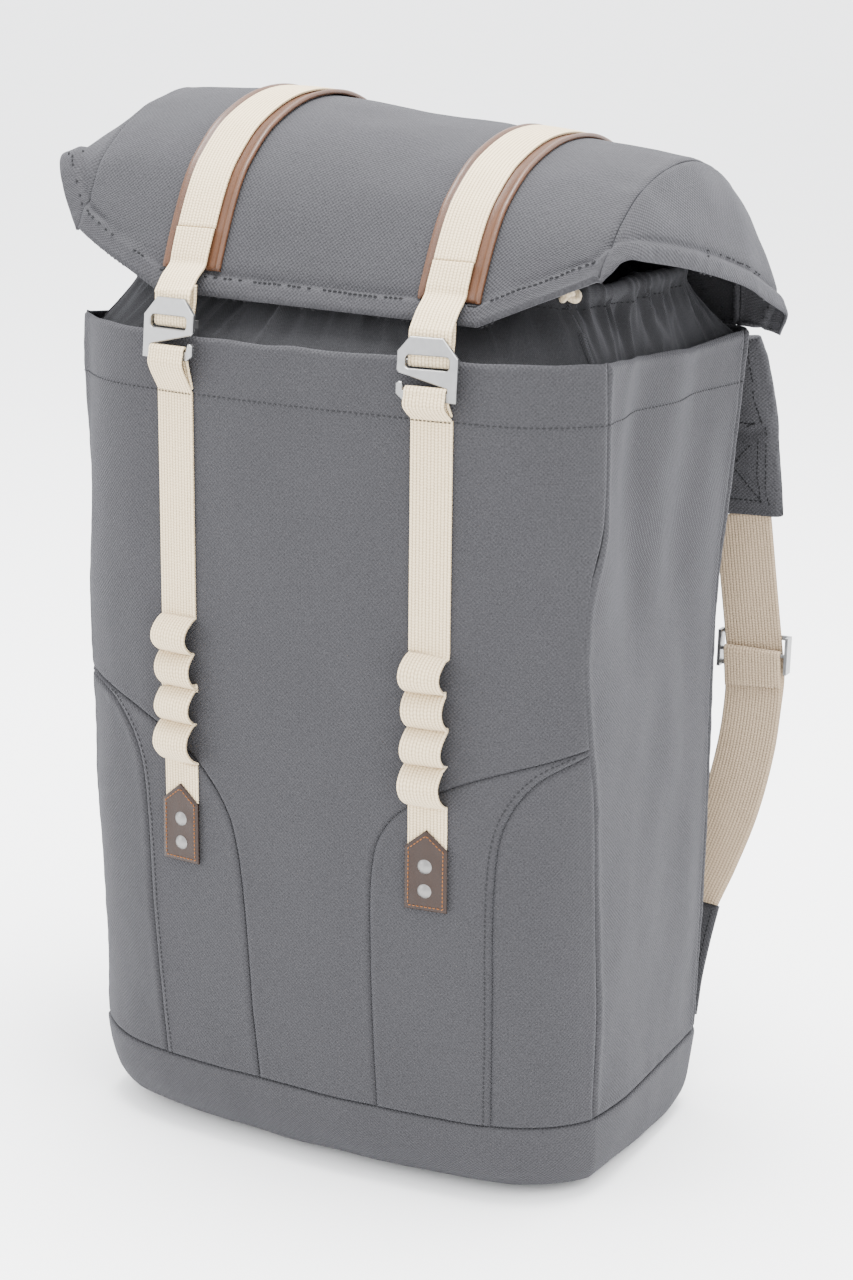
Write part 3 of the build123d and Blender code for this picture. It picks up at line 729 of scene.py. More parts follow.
# ---------- materials ----------
class Look:
    """One procedural material."""

    def __init__(self, name, **settings):
        self.material = bpy.data.materials.new(name)
        self.material.use_nodes = True
        self.tree = self.material.node_tree
        self.shader = self.tree.nodes["Principled BSDF"]
        for socket, value in settings.items():
            self.shader.inputs[socket.replace("_", " ")].default_value = value

    def add(self, kind, **settings):
        node = self.tree.nodes.new(kind)
        for key, value in settings.items():
            setattr(node, key, value)
        return node

    def put(self, socket, value):
        if isinstance(value, bpy.types.NodeSocket):
            self.tree.links.new(value, socket)
        else:
            socket.default_value = value

    def math(self, operation, *values):
        node = self.add("ShaderNodeMath", operation=operation)
        for socket, value in zip(node.inputs, values):
            self.put(socket, value)
        return node.outputs[0]

    def mix(self, share, first, second):
        node = self.add("ShaderNodeMix", data_type="RGBA")
        self.put(node.inputs[0], share)
        self.put(node.inputs[6], first if isinstance(first, bpy.types.NodeSocket) else (*first, 1))
        self.put(node.inputs[7], second if isinstance(second, bpy.types.NodeSocket) else (*second, 1))
        return node.outputs[2]

    def noise(self, place, scale, detail=2.0, rough=0.5):
        node = self.add("ShaderNodeTexNoise")
        self.put(node.inputs["Vector"], place)
        node.inputs["Scale"].default_value = scale
        node.inputs["Detail"].default_value = detail
        node.inputs["Roughness"].default_value = rough
        return node.outputs["Fac"]

    def stretch(self, place, factors):
        node = self.add("ShaderNodeMapping")
        self.put(node.inputs["Vector"], place)
        node.inputs["Scale"].default_value = factors
        return node.outputs["Vector"]

    def object_place(self):
        return self.add("ShaderNodeTexCoord").outputs["Object"]

    def vary(self, base, noise, amount):
        """The base, raised and lowered by a noise whose middle is a half."""
        return self.math("MULTIPLY_ADD", self.math("SUBTRACT", noise, 0.5), amount, base)

    def place(self, on_cloth=True):
        """The point's place on the cut cloth, or in the object where the mesh has no flat pattern."""
        if on_cloth:
            return self.add("ShaderNodeUVMap", uv_map="weave").outputs["UV"]
        turned = self.add("ShaderNodeVectorRotate", rotation_type="EULER_XYZ")
        self.put(turned.inputs["Vector"], self.object_place())
        turned.inputs["Rotation"].default_value = (math.radians(-90), 0, 0)
        return turned.outputs["Vector"]

    def axes(self, place):
        node = self.add("ShaderNodeSeparateXYZ")
        self.put(node.inputs[0], place)
        return node.outputs[0], node.outputs[1]

    def colour(self, socket):
        self.put(self.shader.inputs["Base Color"], socket)

    def rough(self, socket):
        self.put(self.shader.inputs["Roughness"], socket)

    def bump(self, *layers):
        """Each layer is (height, strength, depth in metres)."""
        normal = None
        for height, strength, depth in layers:
            node = self.add("ShaderNodeBump")
            self.put(node.inputs["Height"], height)
            node.inputs["Strength"].default_value = strength
            node.inputs["Distance"].default_value = depth
            if normal is not None:
                self.put(node.inputs["Normal"], normal)
            normal = node.outputs["Normal"]
        self.put(self.shader.inputs["Normal"], normal)


def canvas(name, dark, light, pitch=0.00125, on_cloth=True, depth=0.00035):
    """Plain-woven cotton canvas with uneven yarn."""
    look = Look(name, Roughness=0.92, Specular_IOR_Level=0.15, Sheen_Weight=0.07, Sheen_Roughness=0.45)
    look.shader.inputs["Sheen Tint"].default_value = (0.9, 0.9, 1.0, 1)
    place = look.place(on_cloth)
    wander = look.noise(place, 260, 2)
    x, y = look.axes(place)
    x = look.math("MULTIPLY_ADD", wander, 0.9, look.math("MULTIPLY", x, math.pi / pitch))
    y = look.math("MULTIPLY_ADD", wander, -0.9, look.math("MULTIPLY", y, math.pi / pitch))
    weave = look.math("MULTIPLY", look.math("SINE", x), look.math("SINE", y))
    warp_slubs = look.noise(look.stretch(place, (1, 0.22, 1)), 900, 1)
    weft_slubs = look.noise(look.stretch(place, (0.22, 1, 1)), 900, 1)
    slubs = look.math("SUBTRACT", look.math("ADD", warp_slubs, weft_slubs), 1.0)
    flecks = look.noise(place, 900, 2, 0.6)
    share = look.math("MULTIPLY_ADD", weave, 0.17, 0.5)
    share = look.math("MULTIPLY_ADD", slubs, 0.38, share)
    faded = look.vary(look.vary(share, flecks, 1.5), look.noise(place, 18, 3), 0.22)
    look.colour(look.mix(faded, dark, light))
    look.bump((look.math("MULTIPLY_ADD", slubs, 1.2, weave), 0.6, depth), (flecks, 0.25, 0.0004))
    return look.material


RIB_PITCH = 0.00208
PICK_PITCH = 0.0017


def webbing(name, groove, rib):
    """Heavy cotton webbing: lengthwise ribs crossed by short picks."""
    look = Look(name, Roughness=0.85, Specular_IOR_Level=0.2, Sheen_Weight=0.15, Sheen_Roughness=0.5)
    place = look.place()
    x, y = look.axes(place)
    wander = look.noise(place, 420, 2)
    wave = look.math("SINE", look.math("MULTIPLY", x, math.pi / RIB_PITCH))
    ribs = look.math("POWER", look.math("ABSOLUTE", wave), 0.55)
    side = look.math("MULTIPLY", look.math("SIGN", wave), 0.9)
    picks = look.math("ADD", look.math("MULTIPLY", y, 2 * math.pi / PICK_PITCH), side)
    picks = look.math("SINE", look.math("MULTIPLY_ADD", wander, 1.6, picks))
    yarn = look.noise(look.stretch(place, (1, 0.25, 1)), 1500, 2)
    height = look.vary(look.math("MULTIPLY_ADD", picks, 0.22, ribs), yarn, 0.5)
    share = look.vary(height, look.noise(place, 30, 2), 0.3)
    look.colour(look.mix(look.math("MULTIPLY", share, 0.95), groove, rib))
    look.bump((height, 0.75, 0.0005))
    return look.material


LEATHER_GRAIN = 700


def leather(name, deep, light, gloss):
    """Vegetable-tanned leather with a fine grain and paler worn places."""
    look = Look(name, Specular_IOR_Level=0.3, Coat_Weight=gloss, Coat_Roughness=0.3)
    place = look.place()
    cells = look.add("ShaderNodeTexVoronoi", feature="DISTANCE_TO_EDGE")
    look.put(cells.inputs["Vector"], place)
    cells.inputs["Scale"].default_value = LEATHER_GRAIN
    creases = look.math("MINIMUM", look.math("MULTIPLY", cells.outputs["Distance"], 6), 1.0)
    pulled = look.noise(look.stretch(place, (1, 0.3, 1)), 160, 4)
    worn = look.noise(place, 45, 3)
    share = look.math("ADD", look.math("MULTIPLY", pulled, 0.7), look.math("MULTIPLY", worn, 0.55))
    share = look.math("MULTIPLY", look.math("MULTIPLY_ADD", creases, 0.35, share), 0.75)
    look.colour(look.mix(share, deep, light))
    look.rough(look.math("MULTIPLY_ADD", pulled, 0.25, 0.33))
    look.bump((creases, 0.35, 0.00015), (pulled, 0.3, 0.0003))
    return look.material


def metal(name, tone, base_rough):
    """Cast, tumbled metal with a satin face."""
    look = Look(name, Metallic=1.0)
    place = look.object_place()
    fine = look.noise(look.stretch(place, (1, 1, 3.5)), 2200, 2)
    clouds = look.noise(place, 260, 3)
    darker = tuple(0.72 * v for v in tone)
    share = look.math("MULTIPLY_ADD", fine, 0.4, look.math("MULTIPLY", clouds, 0.9))
    look.colour(look.mix(share, darker, tone))
    look.rough(look.math("MULTIPLY_ADD", clouds, 0.22, base_rough))
    look.bump((fine, 0.12, 0.0001), (clouds, 0.15, 0.0003))
    return look.material


def thread(name, deep, light):
    """Twisted sewing thread."""
    look = Look(name, Roughness=0.85, Specular_IOR_Level=0.15)
    place = look.object_place()
    twist = look.noise(place, 2600, 2)
    look.colour(look.mix(twist, deep, light))
    look.bump((twist, 0.4, 0.0002))
    return look.material


def cotton_rope(name, deep, light):
    """Loosely braided cotton cord."""
    look = Look(name, Roughness=0.9, Sheen_Weight=0.2)
    place = look.object_place()
    braid = look.add("ShaderNodeTexVoronoi")
    look.put(braid.inputs["Vector"], look.stretch(place, (1, 1, 0.55)))
    braid.inputs["Scale"].default_value = 620
    fibres = look.noise(place, 2400, 3)
    share = look.math("SUBTRACT", 1.1, look.math("MULTIPLY_ADD", fibres, 0.4, braid.outputs["Distance"]))
    look.colour(look.mix(share, deep, light))
    look.bump((share, 0.7, 0.0006))
    return look.material


def board(name, deep, light, scale):
    """Pressed stiffener or foam with a fine open texture."""
    look = Look(name, Roughness=0.8)
    place = look.object_place()
    cells = look.noise(place, scale, 4, 0.7)
    look.colour(look.mix(cells, deep, light))
    look.bump((cells, 0.5, 0.0006))
    return look.material


GREY_TONES = ((0.0212, 0.0209, 0.0226), (0.0435, 0.0430, 0.0466))
GREY = canvas("grey_canvas_cloth", *GREY_TONES)
GREY_SIMULATED = canvas("grey_canvas_padding", *GREY_TONES, on_cloth=False)
# Lining canvas: its own darker grey, deepened further as painted shade for the collar, which sits in shadow
# inside the mouth under the lid.
SHADED_LINING = canvas(
    "lining_canvas_with_painted_shade", (0.010, 0.010, 0.011), (0.026, 0.026, 0.028), pitch=0.0009, depth=0.0002,
)
CREAM = webbing("cream_webbing_cloth", (0.29, 0.21, 0.115), (0.65, 0.525, 0.335))
# Shoulder webbing: the cream webbing's weave in a tanner colour, darkened further as painted shade where the
# belts lie partly in shadow.
SHADED = webbing("tan_webbing_with_painted_shade", (0.17, 0.12, 0.072), (0.38, 0.29, 0.195))
TAN = leather("tan_leather_hide", (0.018, 0.0062, 0.0020), (0.082, 0.031, 0.0110), 0.16)
BROWN = leather("brown_leather_hide", (0.0055, 0.0018, 0.0005), (0.019, 0.0064, 0.0018), 0.0)
SATIN = metal("satin_aluminium", (0.30, 0.30, 0.30), 0.28)
STEEL = metal("rivet_steel", (0.20, 0.195, 0.19), 0.30)
GREY_THREAD = thread("grey_thread_yarn", (0.003, 0.003, 0.0035), (0.009, 0.009, 0.010))
SOFT_THREAD = thread("tonal_thread_yarn", (0.011, 0.011, 0.012), (0.025, 0.025, 0.027))
CREAM_THREAD = thread("cream_thread_yarn", (0.34, 0.26, 0.16), (0.6, 0.48, 0.33))
DARK_THREAD = thread("dark_thread_yarn", (0.022, 0.019, 0.016), (0.06, 0.05, 0.04))
ORANGE_THREAD = thread("orange_thread_yarn", (0.14, 0.05, 0.014), (0.24, 0.095, 0.03))
ROPE = cotton_rope("cotton_rope_yarn", (0.30, 0.23, 0.14), (0.64, 0.53, 0.38))
FOAM = board("foam_cells", (0.030, 0.030, 0.032), (0.058, 0.058, 0.062), 900)
STIFF = board("stiffener_board", (0.014, 0.014, 0.014), (0.032, 0.032, 0.032), 500)


# ---------- camera, light and floor ----------
CAMERA_YAW = math.radians(26.6)
CAMERA_PITCH = math.radians(14.9)
CAMERA_ROLL = math.radians(1.5)
CAMERA_TARGET = Vector((0.0092, 0.0, 0.305))
CAMERA_DISTANCE = 1.613
CAMERA_LENS = 73.1
FLOOR_Z = -0.0004
LIGHT_AIM = Vector((0, 0, 0.32))


def add_camera():
    level = math.cos(CAMERA_PITCH)
    back = Vector((math.sin(CAMERA_YAW) * level, -math.cos(CAMERA_YAW) * level, math.sin(CAMERA_PITCH)))
    right = Vector((math.cos(CAMERA_YAW), math.sin(CAMERA_YAW), 0))
    up = back.cross(right)
    rolled_right = right * math.cos(CAMERA_ROLL) + up * math.sin(CAMERA_ROLL)
    rolled_up = up * math.cos(CAMERA_ROLL) - right * math.sin(CAMERA_ROLL)
    data = bpy.data.cameras.new("camera")
    data.lens = CAMERA_LENS
    camera = bpy.data.objects.new("camera", data)
    turn = Matrix((rolled_right, rolled_up, back)).transposed()
    camera.matrix_world = Matrix.Translation(CAMERA_TARGET + back * CAMERA_DISTANCE) @ turn.to_4x4()
    bpy.context.scene.collection.objects.link(camera)
    bpy.context.scene.camera = camera


def softbox(name, place, size, power):
    data = bpy.data.lights.new(name, "AREA")
    data.shape = "DISK"
    data.size = size
    data.energy = power
    lamp = bpy.data.objects.new(name, data)
    lamp.location = place
    aim = LIGHT_AIM - Vector(place)
    lamp.rotation_euler = aim.to_track_quat("-Z", "Y").to_euler()
    bpy.context.scene.collection.objects.link(lamp)


def studio():
    world = bpy.data.worlds.new("studio")
    world.use_nodes = True
    sky = world.node_tree.nodes["Background"]
    sky.inputs["Color"].default_value = (0.97, 0.98, 1.0, 1)
    sky.inputs["Strength"].default_value = 3.7
    bpy.context.scene.world = world
    softbox("key_light", (1.6, -0.9, 2.5), 1.5, 40)
    softbox("fill_light", (-2.1, -2.2, 1.3), 1.8, 40)
    softbox("top_light", (0.1, 0.0, 2.8), 1.7, 230)
    look = Look("studio_floor", Roughness=0.9)
    place = look.object_place()
    look.colour(look.mix(look.noise(place, 3, 2), (0.93, 0.93, 0.93), (0.95, 0.95, 0.95)))
    edge = 90.0
    corners = [(x * edge, y * edge, FLOOR_Z) for x, y in ((-1, -1), (1, -1), (1, 1), (-1, 1))]
    mesh = bpy.data.meshes.new("floor")
    mesh.from_pydata(corners, [], [(0, 1, 2, 3)])
    floor = bpy.data.objects.new("floor", mesh)
    floor.data.materials.append(look.material)
    bpy.context.scene.collection.objects.link(floor)


# ---------- drawcord ----------
def cord_line():
    """The cord's middle line, round the top of the collar."""
    return curve([(x, y, COLLAR_TOP) for x, y in CORD_ROUTE], 3.0)


def drawcord():
    data = bpy.data.curves.new("drawcord_rope", "CURVE")
    data.dimensions = "3D"
    data.bevel_depth = CORD_D / 2 * MM
    data.bevel_resolution = 5
    data.use_fill_caps = True
    line = cord_line()
    spline = data.splines.new("POLY")
    spline.points.add(len(line) - 1)
    for point, spot in zip(spline.points, line):
        point.co = (*(spot * MM), 1)
    rope = bpy.data.objects.new("drawcord_rope", data)
    bpy.context.scene.collection.objects.link(rope)
    belongs(rope, "bag", ROPE, ["drawcord"])
    knot = drawcord_knot()


def drawcord_knot():
    """Both ends of the cord tied together: a trefoil of the same cord."""
    turns = np.linspace(0, 2 * math.pi, 91)[:-1]
    path = KNOT_SIZE * cols(
        np.sin(turns) + 2 * np.sin(2 * turns),
        0.9 * (np.cos(turns) - 2 * np.cos(2 * turns)),
        -1.1 * np.sin(3 * turns),
    )
    along = unit(np.roll(path, -1, axis=0) - np.roll(path, 1, axis=0))
    side = unit(np.cross(along, (0, 0, 1.0)))
    up = np.cross(side, along)
    angles = np.linspace(0, 2 * math.pi, 10, endpoint=False)[:, None]
    around = np.cos(angles) * side[:, None] + np.sin(angles) * up[:, None]
    points = (path[:, None] + KNOT_CORD_R * around).reshape(-1, 3)
    faces = ring_faces(len(path), len(angles), wrap=True)
    out, rise = KNOT_SHIFT
    centre = np.array((*(KNOT + unit(np.array(KNOT) - COLLAR_CENTRE) * out), COLLAR_TOP + rise))
    knot = make_piece("drawcord_tied_knot", points + centre, faces, closed=True)
    return belongs(knot, "bag", ROPE, ["drawcord_knot"])


# ---------- the sack ----------
def flat_seam(pairs, side):
    """A curved seam on the front, from the front seam down to the base, in flat coordinates."""
    line = curve(pairs, 2.0)
    return cols(front_flat(line[:, 0], line[:, 1], side), line[:, 1])


def front_edge(z_from, z_to, side):
    z = np.linspace(z_from, z_to, max(2, int(abs(z_to - z_from) / 2) + 1))
    return cols(side * corner_arc(z, side)[1], z)


def slack(line, sag, seed):
    """A free edge of cloth: it dips between its ends and waves a little."""
    held = np.sin(math.pi * np.linspace(0, 1, len(line))) ** 0.4
    spots = cols(line[:, 0], 0.0, 0.0)
    dip = sag + 2.4 * bumps(spots, 58, seed) + 1.1 * bumps(spots, 21, seed + 1)
    return line - cols(0.0, held * dip)


def front_panels():
    inner = {side: flat_seam(INNER_SEAM[side], side) for _, side in SIDES}
    outer = {side: flat_seam(OUTER_SEAM[side], side) for _, side in SIDES}
    top = {side: front_edge(inner[side][0, 1], MOUTH_Z, side) for _, side in SIDES}
    mouth = slack(straight(top[1][-1], top[-1][-1]), 2.2, 41)
    outline = loop_of(
        straight(inner[-1][-1], inner[1][-1]), inner[1][::-1], top[1], mouth, top[-1][::-1], inner[-1],
    )
    pieces = [sewn(panel("front_panel_canvas", FRONT, outline), "front_panel")]
    for name, side in SIDES:
        short = front_edge(outer[side][0, 1], inner[side][0, 1], side)
        outline = loop_of(inner[side], straight(inner[side][-1], outer[side][-1]), outer[side][::-1], short)
        band = panel(f"front_{name}_band_canvas", FRONT, outline, spacing=3.5, lift=0.25)
        pieces.append(sewn(band, f"front_{name}_band"))
        foot = front_edge(BASE_SEAM_Z, outer[side][0, 1], side)
        outline = loop_of(outer[side], straight(outer[side][-1], foot[0]), foot)
        corner = panel(f"front_{name}_corner_canvas", FRONT, outline, spacing=3.5)
        pieces.append(sewn(corner, f"front_{name}_corner"))
    seams = [FRONT.at(line) for line in (*inner.values(), *outer.values())]
    return pieces, seams


def side_panels():
    pieces = []
    for name, side in SIDES:
        z = np.linspace(BASE_SEAM_Z, MOUTH_Z, 220)
        drop = 4.0 * ease(BASE_SEAM_Z, MOUTH_Z, z)
        front = cols(0.0, z)
        back = cols(side_length(z - drop, side), z - drop)
        mouth = slack(straight(back[-1], front[-1]), 2.6, 50 + side)
        outline = loop_of(straight(front[0], back[0]), back, mouth, front[::-1])
        side_panel = panel(f"{name}_side_panel_canvas", SIDE[side], outline, tuck=1.5, ridge=0.7)
        pieces.append(sewn(side_panel, f"{name}_side_panel"))
    return pieces


QUILT_X = 52.0
QUILT_Z = (200.0, 345.0)
QUILT_EDGE = (142.0, 78.0, 470.0)   # half width, lower and upper end of the padded part

LINING_PAST = (12.0, 10.0)          # how far the lining reaches past the padding, at each side and below


def quilted(flat):
    """The padded part of the back swells between its rows of stitching."""
    a, z = flat[:, 0], flat[:, 1]
    rows = [np.abs(np.abs(a) - QUILT_X)] + [np.abs(z - row) for row in QUILT_Z]
    rows += [QUILT_EDGE[0] - np.abs(a), z - QUILT_EDGE[1], QUILT_EDGE[2] - z]
    swell = np.ones(len(flat)) * 4.2
    for gap in rows:
        swell = swell * (1 - np.exp(-((np.maximum(gap, 0) / 9) ** 2)))
    return swell


def back_panels():
    z = np.linspace(BASE_SEAM_Z, MOUTH_Z - 4, 220)
    left = cols(-back_reach(z), z)
    right = cols(back_reach(z), z)
    outline = loop_of(straight(left[0], right[0]), right, straight(right[-1], left[-1]), left[::-1])
    outer = panel("back_panel_canvas", BACK, outline, tuck=1.5, ridge=0.7, extra=quilted)
    sewn(outer, "back_panel")
    half, low, high = QUILT_EDGE
    box = rectangle(half, low, high, 3)
    foam = panel("back_foam_sheet", BACK, box, spacing=9, tuck=1.0, ridge=0, thickness=7.0, lift=-2.2)
    belongs(foam, "bag", FOAM, ["back_foam"])
    grown = rectangle(half + LINING_PAST[0], low - LINING_PAST[1], high, 3)
    lining = panel("back_lining_cloth", BACK, grown, spacing=7, tuck=0.2, ridge=0, thickness=1.0, lift=-10.2)
    belongs(lining, "bag", SHADED_LINING, ["back_lining"])
    rows = [straight((x, low), (x, high), 3) for x in (-half, -QUILT_X, QUILT_X, half)]
    rows += [straight((-half, z), (half, z), 3) for z in (low, *QUILT_Z, high)]
    return outer, [BACK.at(row) for row in rows]


RING_CELLS = (150, 70, 140, 70)


def ring(z, lift, scale=1.0):
    """Points all round the sack at one height, anticlockwise from the left front seam."""
    share = [np.linspace(0, 1, int(n * scale), endpoint=False) for n in RING_CELLS]
    reach = {side: corner_arc(np.array([z]), side)[1][0] for _, side in SIDES}
    across = -reach[-1] + share[0] * (reach[1] + reach[-1])
    right = share[1] * side_length(np.array([z]), 1)[0]
    behind = back_reach(np.array([z]))[0]
    left = (1 - share[3]) * side_length(np.array([z]), -1)[0]
    parts = [
        FRONT.at(cols(across, z), lift),
        SIDE[1].at(cols(right, z), lift),
        BACK.at(cols(-behind + share[2] * 2 * behind, z), lift),
        SIDE[-1].at(cols(left, z), lift),
    ]
    return np.concatenate(parts)


def ring_band(name, rows, thickness):
    """A closed band round the sack. rows are (height, lift) from the bottom up."""
    lines = [ring(z, lift) for z, lift in rows]
    around = len(lines[0])
    run = chords(np.concatenate([lines[-1], lines[-1][:1]]))[:-1]
    steps = [np.linalg.norm(b - a, axis=1).mean() for a, b in zip(lines, lines[1:])]
    rise = np.concatenate([[0], np.cumsum(steps)])
    flat = cols(np.tile(run, len(rows)), np.repeat(rise, around))
    points = np.concatenate(lines)
    points[:, 2] = np.maximum(points[:, 2], 0.3)
    return thicken(make_piece(name, points, ring_faces(len(rows), around), flat), thickness)


BASE_ROWS = (
    (0.3, -1.0), (1.2, -0.2), (2.5, 0), (4, 0), (6, 0), (9, 0), (12, 0), (16, 0), (20, 0.1),
    (25, 0.2), (30, 0.3),
    (35, 0.4), (40, 0.5), (44, 0.7), (47, 0.9), (49.3, 1.0), (50.6, 0.7), (51.4, -0.1), (52.0, -1.4),
)

HEM_ROWS = ((HEM_Z, -2.6), (HEM_Z + 3, -2.2), (486, -2.2), (494, -2.1), (498, -2.0))


def base_parts():
    band = ring_band("base_band_canvas", BASE_ROWS, CANVAS)
    sewn(band, *[f"{part}_base_band" for part in AROUND])
    outline = ring(1.5, -0.8)[::2, :2]
    bottom = Skin(lambda flat: cols(flat[:, 0], flat[:, 1], 1.6), -1)
    sewn(panel("base_panel_canvas", bottom, outline, spacing=10, tuck=0.4, ridge=0.2), "base_panel")
    hem = ring_band("mouth_hem_canvas", HEM_ROWS, 1.2)
    belongs(hem, "bag", SHADED_LINING, ["mouth_hem"])


# ---------- collar ----------
COLLAR_WAVE = 13.0     # usual distance between gathers
COLLAR_CENTRE = np.array((0.0, -16.0))
TUNNEL = np.array((4.3, 4.3, 4.9))   # half size of the drawcord's tunnel
SLOPE_ROWS, RISE_ROWS, TUNNEL_ROWS, INNER_ROWS = 5, 12, 12, 6
RISE_LAST = SLOPE_ROWS + RISE_ROWS            # row that meets the tunnel from outside
TUNNEL_LAST = RISE_LAST + TUNNEL_ROWS + 2     # last row kept clear of the cord


def gathers(rim, fall):
    """Outward folds and upward drift of one row of the collar, fall millimetres along the cloth."""
    loop = cols(rim[:, 0], rim[:, 1], fall * 0.9)
    fine = bumps(loop, (COLLAR_WAVE, COLLAR_WAVE, 42), 31)
    sharp = bumps(loop, (COLLAR_WAVE * 0.55, COLLAR_WAVE * 0.55, 30), 32)
    broad = bumps(loop, (45, 45, 60), 33)
    packed = 0.55 + 0.75 * ease(-0.35, 0.35, bumps(loop * (1, 1, 0), (52, 52, 1), 35))
    fold = packed * (9.5 * (0.32 - np.abs(fine) ** 0.8) + 2.6 * sharp) + 3.4 * broad
    return fold, 3.0 * bumps(loop, (30, 30, 25), 34)


def collar():
    """Gathered skirt inside the mouth. It leans in, rises to the drawcord and folds over it."""
    scale = 1.6
    base = ring(HEM_Z + 4, -5.0, scale=scale)
    rim = ring(499, -8.5, scale=scale)
    around = len(base)
    route = cord_line()[:, :2] - COLLAR_CENTRE
    angles = np.unwrap(np.arctan2(route[:, 1], route[:, 0]))
    order = np.argsort(angles)
    away = rim[:, :2] - COLLAR_CENTRE
    angle = np.arctan2(away[:, 1], away[:, 0])
    radius = np.interp(angle, angles[order], np.linalg.norm(route, axis=1)[order], period=2 * math.pi)
    out = cols(np.cos(angle), np.sin(angle))
    crown = np.concatenate([COLLAR_CENTRE + out * radius[:, None], np.full((around, 1), COLLAR_TOP)], axis=1)
    outward = np.concatenate([out, np.zeros((around, 1))], axis=1)
    run = chords(np.concatenate([rim, rim[:1]]))[:-1]

    up = np.array((0, 0, 1.0))

    rows = [(base, 0.0, outward)]
    for share in np.linspace(0.2, 1, SLOPE_ROWS):
        rows.append((base + (rim - base) * share, 0.15 * share, outward))
    foot = crown - up * 6.5 + outward * 2.5
    for share in np.linspace(0.1, 1, RISE_ROWS):
        rows.append((rim + (foot - rim) * share, 0.15 + 0.85 * share, outward))
    for turn in np.linspace(-20, 200, TUNNEL_ROWS):
        swing = math.radians(turn)
        away = outward * math.cos(swing) + up * math.sin(swing)
        rows.append((crown + away * TUNNEL, 0.75, away))
    for share in np.linspace(0.15, 1, INNER_ROWS):
        inner = crown - outward * (4.0 - 2.6 * share) - up * (2.0 + 14 * share)
        rows.append((inner, 1.0, -outward))

    points, flats = [], []
    fall = 0.0
    for index, (line, gather, push) in enumerate(rows):
        if index:
            fall += np.linalg.norm(line - rows[index - 1][0], axis=1).mean()
        fold, drift = gathers(rim, fall)
        if RISE_LAST < index <= TUNNEL_LAST:
            fold = np.maximum(0.55 * fold, -0.3)
        elif RISE_LAST - 4 < index <= RISE_LAST:
            fold = np.maximum(fold, -1.5 * (RISE_LAST + 2 - index))
        points.append(line + push * (gather * fold)[:, None] + up * (0.35 * gather * drift)[:, None])
        flats.append(cols(run * 1.5, fall))
    hem_rows = [points[row] for row in (RISE_LAST, len(rows) - 2)]
    points = np.concatenate(points)
    skirt = make_piece("collar_gathered_cloth", points, ring_faces(len(rows), around), np.concatenate(flats))
    thicken(skirt, 0.8)
    belongs(skirt, "bag", SHADED_LINING, [f"{part}_collar" for part in AROUND])
    return skirt, hem_rows, fall


# ---------- the lid ----------
LID_EDGE = {"tuck": 0.8, "ridge": 0.25, "thickness": LID_T}
PIPING_R = 2.1
PIPING_IN = 1.2      # how far the piping's middle lies inside the seam, along the lid's width


def lid_pieces():
    x = np.linspace(-LID_HALF, LID_HALF, 166)
    t = np.linspace(0, LID_END, 200)
    outline = loop_of(
        cols(x, 0.0), cols(LID_HALF, t),
        cols(x[::-1], LID_END), cols(-LID_HALF, t[::-1]),
    )
    pieces = [sewn(panel("lid_panel_canvas", LID, outline, **LID_EDGE), "lid_panel", body="lid")]
    for name, side in SIDES:
        length = gusset_length(t, side)
        hem = cols(t, length)
        seam = cols(t, 0.0)
        tail = straight((LID_END, 0), (LID_END, length[-1]))
        outline = loop_of(seam, tail, hem[::-1])
        part = panel(f"{name}_lid_gusset_canvas", GUSSET[side], outline, **LID_EDGE)
        pieces.append(sewn(part, f"{name}_lid_gusset", body="lid"))
    return pieces


def lid_seam_piping():
    """Raw edges of the lid's two top seams, bound and lying inside."""
    t = np.arange(1.0, LID_END - 1, 2.5)
    turns = np.linspace(0, 2 * math.pi, 10, endpoint=False)
    section = PIPING_R * cols(np.cos(turns), np.sin(turns))
    for name, side in SIDES:
        flat = cols(side * (LID_HALF - PIPING_IN), t)
        spine = LID.at(flat) - LID.normals(flat) * (LID_T + 0.9)
        piping = sweep(f"{name}_lid_seam_piping", spine, (1, 0, 0), section)
        sewn(piping, body="lid")


def lid_line(x, start, end, step=2.0):
    t = np.arange(start, end, step)[::-1]
    return cols(float(x), t)


LEATHER_HALF = np.array((
    (0, 1.1), (6, 1.1), (12, 1.1), (14.6, 1.25), (15.6, 1.9), (16.6, 2.75), (17.6, 3.05),
    (18.5, 2.7), (19.1, 1.8),
    (19.0, 0.7), (18.3, 0.0), (12, 0),
))
WEB_SHIFT = -1.8      # the webbing lies a little left of the leather's middle
LEATHER_END = 13.5
SPLICE = 36.0         # flat distance from the hem where the lid's webbing is joined to the hook's strap


def lid_straps():
    for name, side in SIDES:
        flat = lid_line(side * STRAP_X, LEATHER_END, LID_END - 4)
        spine = LID.at(flat)
        across = unit(LID.at(flat + (4, 0)) - LID.at(flat - (4, 0)))
        mirrored = LEATHER_HALF[1:][::-1] * (-1, 1)
        strip = sweep(f"{name}_lid_leather_strip", spine, across, np.concatenate([LEATHER_HALF, mirrored]))
        belongs(strip, "lid", TAN, [f"{name}_lid_leather"])
        flat = lid_line(side * STRAP_X + WEB_SHIFT, SPLICE, LID_END - 3)
        spine = LID.at(flat, 1.25)
        across = unit(LID.at(flat + (4, 0)) - LID.at(flat - (4, 0)))
        strap = sweep(f"{name}_lid_webbing", spine, across, band_section(WEB_W, WEB_T, bow=0.25))
        belongs(strap, "lid", CREAM, [f"{name}_lid_strap"])


def turned_across(side):
    return np.array((math.cos(STRAP_TURN), side * math.sin(STRAP_TURN), 0))


